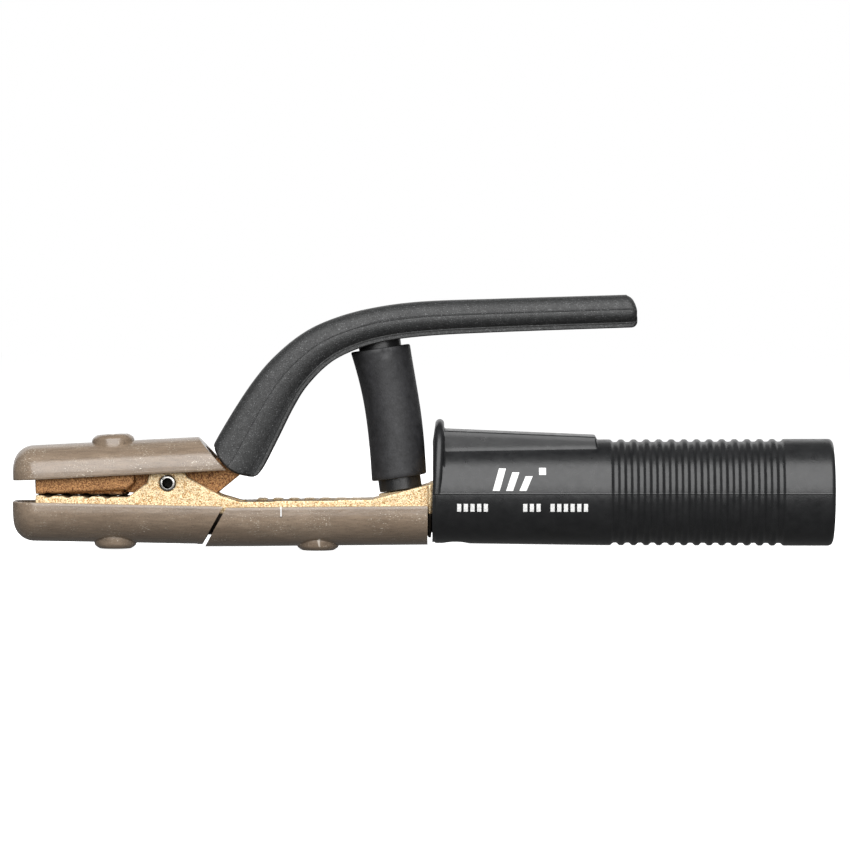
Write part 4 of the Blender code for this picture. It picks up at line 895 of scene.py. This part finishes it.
def handle():
    rings = bore_rings()
    rings += [flange_ring(distance, inset) for distance, inset in guard_edge()]
    rings += [fillet_ring(i) for i in range(1, 7)]
    rings += [handle_ring(x, lambda angle, x=x: outer_radius(x, angle)) for x in grip_places()]
    rings += [end_ring(i) for i in range(7)]
    rings.append(handle_ring(HANDLE_END_X, lambda angle: BORE_RADIUS + 0.0006))
    shell = skin("handle_grip", rings, looped=True)
    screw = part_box("handle_screw")
    screw_x = (screw[0].x + screw[1].x) / 2
    under = Matrix.Translation((screw_x, 0, HANDLE_AXIS_Z)) @ Matrix.Rotation(math.pi, 4, "X")
    head = turned("head", [(0.0045, BORE_RADIUS + 0.0010), (0.0045, 0.022)], under)
    shank = turned("shank", [(SHANK_HOLE_RADIUS, 0.010), (SHANK_HOLE_RADIUS, 0.022)], under)
    cut(shell, head, shank)
    return settle(shell, "handle", NYLON)


PRINT_DEPTH = 0.00006
PRINT_STEPS = 6


def print_patch(corners):
    """A painted quad, given as four (x, height) corners in side view, laid on the handle's near side."""
    bottom_left, bottom_right, top_right, top_left = [Vector(c) for c in corners]
    rings = []
    for i in range(PRINT_STEPS + 1):
        share = i / PRINT_STEPS
        left = bottom_left.lerp(top_left, share)
        right = bottom_right.lerp(top_right, share)
        ring = []
        out, sunk = PRINT_DEPTH, -PRINT_DEPTH
        for spot, lift in ((left, out), (right, out), (right, sunk), (left, sunk)):
            radius = tube_radius(spot.x) + lift
            ring.append(Vector((spot.x, -math.sqrt(radius**2 - spot.y**2), HANDLE_AXIS_Z + spot.y)))
        rings.append(ring)
    return rings


def handle_print():
    """Plain painted shapes on the near side: three slanted bars, a dot, and three groups of blocks."""
    quads = []
    for i in range(3):
        x = HANDLE_FRONT_X + 0.0190 + 0.0042 * i
        top = 0.0080 - 0.0012 * i
        quads.append(((x, 0.0010), (x + 0.0022, 0.0010), (x + 0.0042, top), (x + 0.0020, top)))
    dot = ((0.0336, 0.0060), (0.0358, 0.0060), (0.0358, 0.0082), (0.0336, 0.0082))
    quads.append([(HANDLE_FRONT_X + x, z) for x, z in dot])
    for start, count in ((0.0078, 5), (0.0286, 3), (0.0372, 6)):
        for i in range(count):
            x = HANDLE_FRONT_X + start + 0.0021 * i
            quads.append(((x, -0.0056), (x + 0.0013, -0.0056), (x + 0.0013, -0.0031), (x, -0.0031)))
    shape = bmesh.new()
    for quad in quads:
        add_skin(shape, print_patch(quad))
    marks = piece("handle_print", shape)
    marks.data.materials.append(PRINT)
    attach(marks, "holder")
    return marks


# Lever's insulator

# Centre line, as (x, z) from the hinge, with the thickness there
LEVER_LINE = (
    (0.0199, 0.0054, 0.0150),
    (0.0221, 0.0084, 0.0172),
    (0.0271, 0.0175, 0.0167),
    (0.0325, 0.0269, 0.0154),
    (0.0380, 0.0345, 0.0141),
    (0.0457, 0.0417, 0.0129),
    (0.0540, 0.0463, 0.0119),
    (0.0654, 0.0498, 0.0112),
    (0.0807, 0.0519, 0.0110),
    (0.1052, 0.0530, 0.0106),
    (0.1483, 0.0544, 0.0104),
)
LEVER_STEPS = 9
MOUTH_TRIM = 3  # steps kept of the line's first stretch
LEVER_TOP_CORNER = 0.0042
LEVER_WALL = 0.0024
LIP_HEIGHT = 0.0014
LIP_INSET = 0.0006
WAIST_INSET = 0.0021
SEAM_DEPTH = 0.00008
ARM_LENGTH = 0.1307
ARM_HALF_WIDTH = 0.0066
TIP_ROUND = 0.0020
TIP_SLOPE = 0.0018
MOUTH_BULGE = 0.0030


def lever_stations():
    """Points along the lever's centre line, as (centre, direction, thickness)."""
    points = [Vector((PIN.x + x, PIN.z + z, thickness)) for x, z, thickness in LEVER_LINE]
    dense = []
    for i in range(len(points) - 1):
        a, b = points[max(i - 1, 0)], points[i]
        c, d = points[i + 1], points[min(i + 2, len(points) - 1)]
        for k in range(LEVER_STEPS):
            t = k / LEVER_STEPS
            square = (2 * a - 5 * b + 4 * c - d) * t**2
            cube = (3 * b - a - 3 * c + d) * t**3
            dense.append(0.5 * (2 * b + (c - a) * t + square + cube))
    dense.append(points[-1])
    stations = []
    for i, point in enumerate(dense):
        step = dense[min(i + 1, len(dense) - 1)] - dense[max(i - 1, 0)]
        along = Vector((step.x, 0, step.y)).normalized()
        stations.append((Vector((point.x, 0, point.y)), along, point.z))
    return stations


def cover_profile(thickness, width, inset=0.0):
    """Half of the cover's section, from the top's middle to the underside's, as (y, height)."""
    top = thickness / 2
    bottom = -thickness / 2
    corner = LEVER_TOP_CORNER
    seam = top - thickness * 0.46
    points = [(0, top), (width * 0.35, top - 0.00005), (width - corner - 0.0006, top - 0.0002)]
    for i in range(7):
        angle = math.radians(90 - 15 * i)
        y = width - 0.0002 - corner + corner * math.cos(angle)
        points.append((y, top - 0.0002 - corner + corner * math.sin(angle)))
    points += [(width, seam + 0.0006), (width, seam + 0.0002)]
    points += [(width - SEAM_DEPTH, seam), (width, seam - 0.0002)]
    lip = bottom + LIP_HEIGHT
    for i in range(1, 7):
        share = i / 6
        height = seam - 0.0006 + (lip + 0.0004 - seam + 0.0006) * share
        points.append((width - WAIST_INSET * share**2.4, height))
    points += [(width - WAIST_INSET, lip + 0.0001), (width - LIP_INSET - 0.0002, lip - 0.0001)]
    points += [(width - LIP_INSET, lip - 0.0003), (width - LIP_INSET, bottom + 0.0003)]
    points += [(width - LIP_INSET - 0.0004, bottom), (width * 0.4, bottom), (0, bottom)]
    shrunk = []
    for y, h in points:
        shrunk.append((max(0.0, y - inset) if y else 0.0, h - math.copysign(min(inset, abs(h)), h)))
    return shrunk


def mirrored(profile):
    return [*profile, *[(-y, h) for y, h in reversed(profile[1:-1])]]


def cavity_profile(thickness, count):
    """The hollow's section with as many points as the outside: a rounded rectangle round the metal arm."""
    width = ARM_HALF_WIDTH + GAP
    height = thickness / 2 - LEVER_WALL
    corner = 0.0012
    points = []
    for i in range(count):
        angle = math.pi / 2 - math.pi * i / (count - 1)
        across = math.cos(angle)
        up = math.sin(angle)
        scale = 1 / max(abs(across) / width, abs(up) / height, 1e-9)
        y, h = across * scale, up * scale
        over_y, over_h = y - (width - corner), abs(h) - (height - corner)
        if over_y > 0 and over_h > 0:
            pull = corner / max(math.hypot(over_y, over_h), corner)
            y = width - corner + over_y * pull
            h = math.copysign(height - corner + over_h * pull, h)
        points.append((y, h))
    return points


def cover_ring(profile, centre, along, shift=0.0, bulge=None):
    up = Vector((-along.z, 0, along.x))
    ring = []
    for y, h in mirrored(profile):
        extra = bulge(h) if bulge else 0.0
        ring.append(centre + along * (shift + extra) + Vector((0, y, 0)) + up * h)
    return ring


def lever_cover():
    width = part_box("lever_insulator")[1].y
    stations = lever_stations()[LEVER_STEPS - MOUTH_TRIM :]
    count = len(cover_profile(0.01, width))
    inner = [s for s in stations if s[0].x <= PIN.x + ARM_LENGTH]
    rings = [cover_ring(cavity_profile(t, count), centre, along) for centre, along, t in reversed(inner)]

    def mouth(thickness, share):
        return lambda h: -MOUTH_BULGE * share * (1 - min(1.0, abs(2 * h / thickness)) ** 2)

    centre, along, t = stations[0]
    rings[-1] = cover_ring(cavity_profile(t, count), centre, along, 0.0, mouth(t, 1.0))
    rings.append(cover_ring(cover_profile(t, width, 0.0006), centre, along, 0.0, mouth(t, 1.0)))
    for i, (centre, along, t) in enumerate(stations[:-1]):
        fade = max(0.0, 1 - i / 7) ** 2
        shift = 0.0006 if i == 0 else 0.0
        bulge = mouth(t, fade) if fade else None
        rings.append(cover_ring(cover_profile(t, width), centre, along, shift, bulge))
    centre, along, t = stations[-1]

    def slope(h):
        return -TIP_SLOPE * max(0.0, 2 * h / t) ** 1.5

    for i in range(7):
        turn = math.radians(15 * i)
        inset = TIP_ROUND * (1 - math.cos(turn))
        shift = -TIP_ROUND * (1 - math.sin(turn))
        rings.append(cover_ring(cover_profile(t, width, inset), centre, along, shift, slope))
    cover = skin("lever_cover", rings, smooth_angle=50)
    hole_radius = CUP_RADIUS + 2 * GAP
    hole = turned("cup_hole", [(hole_radius, -0.010), (hole_radius, LEVER_WALL)], spring_place(SPRING_SPAN))
    cut(cover, hole)
    return settle(cover, "lever_insulator", LEVER_SKIN)


# Spring, cups and sleeve

SPRING_LEAN = math.radians(8.3)
CUP_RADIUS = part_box("spring_cup_lower")[1].y
HEEL = Vector(JOINTS["spring_swing"]["pos_m"])
SPRING_ACROSS = Vector((math.cos(SPRING_LEAN), 0, math.sin(SPRING_LEAN)))
SPRING_ALONG = Vector((-math.sin(SPRING_LEAN), 0, math.cos(SPRING_LEAN)))
SEAT = HEEL - SPRING_ACROSS * CUP_RADIUS
SLEEVE_WALL = 0.00125
SLEEVE_FLARE = 0.0036
SLEEVE_BOW = 0.0011
CUP_WALL = 0.0012
CUP_FLOOR = 0.0015
WIRE_RADIUS = 0.0009
SPRING_TURNS = 9
SPRING_COIL_RADIUS = 0.0041
SLEEVE_RIM = 0.0005
DIMPLE_WIDTH = 0.0016
DIMPLE_HEIGHT = 0.0024
DIMPLE_DEPTH = 0.0005


def node_reach(node):
    """Lowest and highest distance of a node's points along the spring's axis."""
    reach = [(vert.co - SEAT).dot(SPRING_ALONG) for vert in frame["nodes"][node].data.vertices]
    return min(reach), max(reach)


SPRING_SPAN = node_reach("spring_cup_upper")[1] + GAP


def spring_place(distance=0.0, flip=False):
    place = Matrix.Translation(SEAT + SPRING_ALONG * distance) @ Matrix.Rotation(-SPRING_LEAN, 4, "Y")
    return place @ Matrix.Rotation(math.pi, 4, "X") if flip else place


def cup(node, name, length, distance, flip):
    round_edge = 0.0003
    profile = [
        (CUP_RADIUS - round_edge, length),
        (CUP_RADIUS, length - round_edge),
        (CUP_RADIUS, round_edge),
        (CUP_RADIUS - round_edge, 0),
        (0.0026, 0),
        (0.0026, CUP_FLOOR),
        (CUP_RADIUS - CUP_WALL, CUP_FLOOR),
        (CUP_RADIUS - CUP_WALL, length),
    ]
    return settle(turned(name, profile, spring_place(distance, flip), looped=True), node, NYLON)


def sleeve():
    """The rubber sleeve: bowed a little and flared upwards, with rounded rims and a dimple near its top."""
    start, end = node_reach("spring_sleeve")
    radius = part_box("spring_sleeve")[1].y + 0.0001
    length = end - start
    rim = SLEEVE_RIM
    outside = []
    for height in spread(rim, length - rim, 0.0009):
        flare = SLEEVE_FLARE * max(0.0, height / length - 0.55) ** 2
        outside.append((radius + flare, height))
    mouth = outside[-1][0]
    profile = [
        (radius - rim, 0),
        (radius - rim * 0.3, rim * 0.3),
        *outside,
        (mouth - rim * 0.3, length - rim * 0.3),
        (mouth - rim, length),
        (mouth - SLEEVE_WALL, length),
        (radius - SLEEVE_WALL, length * 0.55),
        (radius - SLEEVE_WALL, length * 0.25),
        (radius - SLEEVE_WALL, 0),
    ]
    tube = turned("rubber_sleeve", profile, spring_place(start), looped=True, segments=96)
    for vert in tube.data.vertices:
        share = (vert.co - SEAT).dot(SPRING_ALONG) - start
        vert.co += SPRING_ACROSS * SLEEVE_BOW * math.sin(math.pi * min(1.0, max(0.0, share / length)))
    top = SEAT + SPRING_ALONG * (end - 0.0013)
    for vert in tube.data.vertices:
        away = vert.co - top
        across = away.dot(SPRING_ACROSS) - DIMPLE_WIDTH
        down = away.dot(SPRING_ALONG)
        reach = math.hypot(across / DIMPLE_WIDTH, down / DIMPLE_HEIGHT)
        if vert.co.y < -radius * 0.6 and reach < 1:
            vert.co.y += DIMPLE_DEPTH * smooth_step((1 - reach) * 2)
    settle(tube, "spring_sleeve", RUBBER)
    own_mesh(tube)
    return tube


def coil_height(turns, bottom, top):
    closed = WIRE_RADIUS * 2.15
    if turns < 1:
        return bottom + closed * turns
    if turns > SPRING_TURNS - 1:
        return top - closed * (SPRING_TURNS - turns)
    return bottom + closed + (top - bottom - 2 * closed) * (turns - 1) / (SPRING_TURNS - 2)


def spring():
    """A round wire wound into a compression spring with closed ends."""
    bottom = 2 * GAP + CUP_FLOOR + WIRE_RADIUS
    top = SPRING_SPAN - bottom
    place = spring_place()
    steps = SPRING_TURNS * 32
    rings = []
    for i in range(steps + 1):
        turns = SPRING_TURNS * i / steps
        angle = 2 * math.pi * turns
        outwards = Vector((math.cos(angle), math.sin(angle), 0))
        centre = outwards * SPRING_COIL_RADIUS + Vector((0, 0, coil_height(turns, bottom, top)))
        ring = []
        for k in range(10):
            turn = 2 * math.pi * k / 10
            away = outwards * math.cos(turn) + Vector((0, 0, math.sin(turn)))
            ring.append(place @ (centre + away * WIRE_RADIUS))
        rings.append(ring)
    coil = settle(skin("coil_spring", rings, smooth_angle=60), "lever_spring", SPRING_STEEL)
    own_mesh(coil)
    return coil


# Screws, washers, pin and cable connection

HEAD_HEIGHT = 0.0016
WASHER_THICKNESS = 0.0005
SEAT_PLAY = 0.0002
SLOT_HALF_WIDTH = 0.00045


def slotted_screw(node, place, head_radius=0.0033, shank_length=0.0085):
    """A cheese-head screw with a domed head; place's Z points out of the head, its origin under it."""
    shank = 0.0022
    edge = 0.0004
    profile = [(0, HEAD_HEIGHT)]
    profile += [(head_radius * s, HEAD_HEIGHT - 0.00012 * s * s) for s in (0.3, 0.6)]
    profile += [(head_radius - edge, HEAD_HEIGHT - 0.00015)]
    profile += [(head_radius - edge * 0.3, HEAD_HEIGHT - edge * 0.6)]
    profile += [(head_radius, HEAD_HEIGHT - edge * 1.2), (head_radius, 0.0001)]
    profile += [(head_radius - 0.0001, 0), (shank, 0)]
    pitch = 0.0008
    turns = int((shank_length - 0.002) / pitch)
    for i in range(turns):
        depth = -0.0012 - pitch * i
        profile += [(shank, depth), (shank - 0.0003, depth - pitch / 2)]
    profile += [(shank * 0.6, -shank_length), (0, -shank_length)]
    screw = turned(node + "_fine", profile, place)
    slot_low = (-head_radius * 2, -SLOT_HALF_WIDTH, HEAD_HEIGHT * 0.45)
    cut(screw, block("slot", slot_low, (head_radius * 2, SLOT_HALF_WIDTH, 0.004), place))
    return settle(screw, node, STEEL)


def washer(node, place):
    radius = 0.0033
    edge = 0.0001
    profile = [(radius - edge, WASHER_THICKNESS), (radius, WASHER_THICKNESS - edge)]
    profile += [(radius, edge), (radius - edge, 0)]
    profile += [(0.0024, 0), (0.0024, WASHER_THICKNESS)]
    return settle(turned(node + "_fine", profile, place, looped=True), node, FIBRE)


def fasteners():
    down = Matrix.Rotation(math.pi, 4, "X")
    jaw_seat = (JAW_BOSS_X, 0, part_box("lower_jaw_insulator")[0].z + SCREW_DEPTH)
    body_seat = (BODY_BOSS_X, 0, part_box("body_insulator")[0].z + SCREW_DEPTH)
    upper_x = (JAW_BOSS_X - PIN.x) / math.cos(UPPER_TILT)
    upper_seat = (upper_x, 0, UPPER_CROWN + UPPER_BOSS_HEIGHT - SCREW_DEPTH)
    places = {
        "lower_jaw": Matrix.Translation(jaw_seat) @ down,
        "body": Matrix.Translation(body_seat) @ down,
        "upper_jaw": JAW_FRAME @ Matrix.Translation(upper_seat),
    }
    for name, place in places.items():
        washer(name + "_washer", place @ Matrix.Translation((0, 0, SEAT_PLAY)))
        slotted_screw(name + "_screw", place @ Matrix.Translation((0, 0, WASHER_THICKNESS + 2 * SEAT_PLAY)))
    low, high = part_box("handle_screw")
    seat = Matrix.Translation(((low.x + high.x) / 2, 0, low.z + HEAD_HEIGHT)) @ down
    slotted_screw("handle_screw", seat, (high.x - low.x) / 2, 0.0055)


# Half the thickness of the web across the bore's middle, which the pin's material paints black as shade.
PIN_WEB = 0.0005


def hinge_pin():
    """A slotted spring pin, closed half way along by a web that is painted black as shade in the bore."""
    radius = (PIN_HIGH.z - PIN_LOW.z) / 2
    half = PIN_HIGH.y
    bore = PIN_BORE_RADIUS
    edge = 0.0003
    profile = [(radius - edge, half), (radius - edge * 0.3, half - edge * 0.4), (radius, half - 0.0006)]
    profile += [(radius, -half + 0.0006), (radius - edge * 0.3, -half + edge * 0.4), (radius - edge, -half)]
    profile += [(bore + 0.0001, -half), (bore, -half + 0.0002), (bore, -PIN_WEB), (0, -PIN_WEB)]
    profile = [(0, PIN_WEB), (bore, PIN_WEB), (bore, half - 0.0002), (bore + 0.0001, half), *profile]
    place = Matrix.Translation(PIN) @ Matrix.Rotation(math.pi / 2, 4, "X")
    pin = turned("spring_pin", profile, place)
    turned_place = place @ Matrix.Rotation(math.radians(135), 4, "Z")
    for low, high in ((half - 0.004, 0.02), (-0.02, -half + 0.004)):
        corners = (bore * 0.8, -SLOT_HALF_WIDTH, low), (0.006, SLOT_HALF_WIDTH, high)
        cut(pin, block("slot", *corners, turned_place))
    return settle(pin, "hinge_pin", PIN_STEEL)


def clamp_screw(node):
    """A socket set screw, its cup point drawn as a flat chamfered end."""
    low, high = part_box(node)
    radius = (high.x - low.x) / 2
    middle = Matrix.Translation(((low.x + high.x) / 2, 0, 0))
    edge = 0.0005
    profile = [(0, high.z), (radius - edge, high.z), (radius, high.z - edge)]
    pitch = 0.0010
    for i in range(int((high.z - low.z - 0.002) / pitch)):
        height = high.z - 0.0009 - pitch * i
        profile += [(radius, height), (radius - 0.00035, height - pitch / 2)]
    profile += [(radius - 0.0014, low.z), (0, low.z)]
    screw = turned(node + "_fine", profile, middle)
    cut(screw, turned("socket", [(0.0026, high.z - 0.0045), (0.0026, high.z + 0.001)], middle, segments=6))
    return settle(screw, node, DARK_STEEL)


def cable_tube():
    low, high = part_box("cable_sleeve")
    radius = high.z - HANDLE_AXIS_Z
    place = Matrix.Translation((0, 0, HANDLE_AXIS_Z)) @ Matrix.Rotation(math.pi / 2, 4, "Y")
    wall = 0.0009
    edge = 0.0002
    profile = [(radius - edge, high.x), (radius, high.x - edge)]
    profile += [(radius, low.x + edge), (radius - edge, low.x)]
    profile += [(radius - wall, low.x), (radius - wall, high.x)]
    return settle(turned("copper_tube", profile, place, looped=True), "cable_sleeve", COPPER)


# Stage


def light(name, place, aim, size, power):
    lamp = bpy.data.lights.new(name, "AREA")
    lamp.shape = "RECTANGLE"
    lamp.size, lamp.size_y = size
    lamp.energy = power
    obj = bpy.data.objects.new(name, lamp)
    obj.location = place
    obj.rotation_mode = "QUATERNION"
    obj.rotation_quaternion = (Vector(aim) - Vector(place)).to_track_quat("-Z", "Y")
    obj.visible_camera = False
    bpy.context.scene.collection.objects.link(obj)


def pale_floor():
    shape = bmesh.new()
    bmesh.ops.create_grid(shape, x_segments=2, y_segments=2, size=6.0)
    floor = piece("floor", shape)
    look = Look("pale_floor", 0.9)
    look.colour(look.ramp(look.grain(6, 2), (0.2, (0.88, 0.88, 0.88)), (0.8, (0.92, 0.92, 0.92))))
    look.shader.inputs["Emission Color"].default_value = (1, 1, 1, 1)
    look.shader.inputs["Emission Strength"].default_value = 0.85
    floor.data.materials.append(look.material)
    floor.visible_diffuse = False
    floor.visible_glossy = False


def studio_world():
    """White where the camera looks past the holder, and dim as a light."""
    world = bpy.data.worlds.new("studio")
    world.use_nodes = True
    bpy.context.scene.world = world
    sky = world.node_tree.nodes["Background"]
    sky.inputs["Color"].default_value = (1, 1, 1, 1)
    sky.inputs["Strength"].default_value = 0.16
    bright = world.node_tree.nodes.new("ShaderNodeBackground")
    bright.inputs["Color"].default_value = (1, 1, 1, 1)
    path = world.node_tree.nodes.new("ShaderNodeLightPath")
    mixer = world.node_tree.nodes.new("ShaderNodeMixShader")
    link = world.node_tree.links.new
    link(path.outputs["Is Camera Ray"], mixer.inputs[0])
    link(sky.outputs[0], mixer.inputs[1])
    link(bright.outputs[0], mixer.inputs[2])
    link(mixer.outputs[0], world.node_tree.nodes["World Output"].inputs["Surface"])


def stage():
    low, high = cad_box
    pale_floor()
    light("front_softbox", (0.0, -0.83, 0.60), (0.0, 0.0, 0.03), (1.7, 1.42), 30)
    light("back_card", (0.0, 1.1, 0.45), (0.0, 0.0, 0.03), (1.8, 0.8), 4)
    studio_world()
    camera((low + high) / 2, high.x - low.x)
    bpy.context.scene.view_settings.view_transform = "Standard"


CAMERA_DISTANCE = 1.75
CAMERA_HEIGHT_ANGLE = math.radians(1.3)
FRAME_SHARE = 0.9635  # the holder's length as a share of the picture's width


def camera(centre, length):
    lens = bpy.data.cameras.new("camera")
    lens.sensor_width = 36.0
    lens.lens = lens.sensor_width * CAMERA_DISTANCE * FRAME_SHARE / length
    lens.clip_start = 0.05
    eye = bpy.data.objects.new("camera", lens)
    aim = Vector((centre.x + 0.0006, 0, centre.z - 0.0008))
    back = Vector((0, -math.cos(CAMERA_HEIGHT_ANGLE), math.sin(CAMERA_HEIGHT_ANGLE)))
    eye.location = aim + back * CAMERA_DISTANCE
    eye.rotation_mode = "QUATERNION"
    eye.rotation_quaternion = (-back).to_track_quat("-Z", "Y")
    bpy.context.scene.collection.objects.link(eye)
    bpy.context.scene.camera = eye


lower_jaw_shell()
body_shell()
upper_jaw_shell()
casting("body_casting", BRASS)
casting("lever_casting", COPPER_CAST)
handle()
handle_print()
lever_cover()
cup("spring_cup_lower", "lower_cup", 0.0140, GAP, False)
cup("spring_cup_upper", "upper_cup", 0.0165, SPRING_SPAN - GAP, True)
sleeve()
spring()
fasteners()
hinge_pin()
clamp_screw("cable_clamp_screw_front")
clamp_screw("cable_clamp_screw_rear")
cable_tube()
stage()
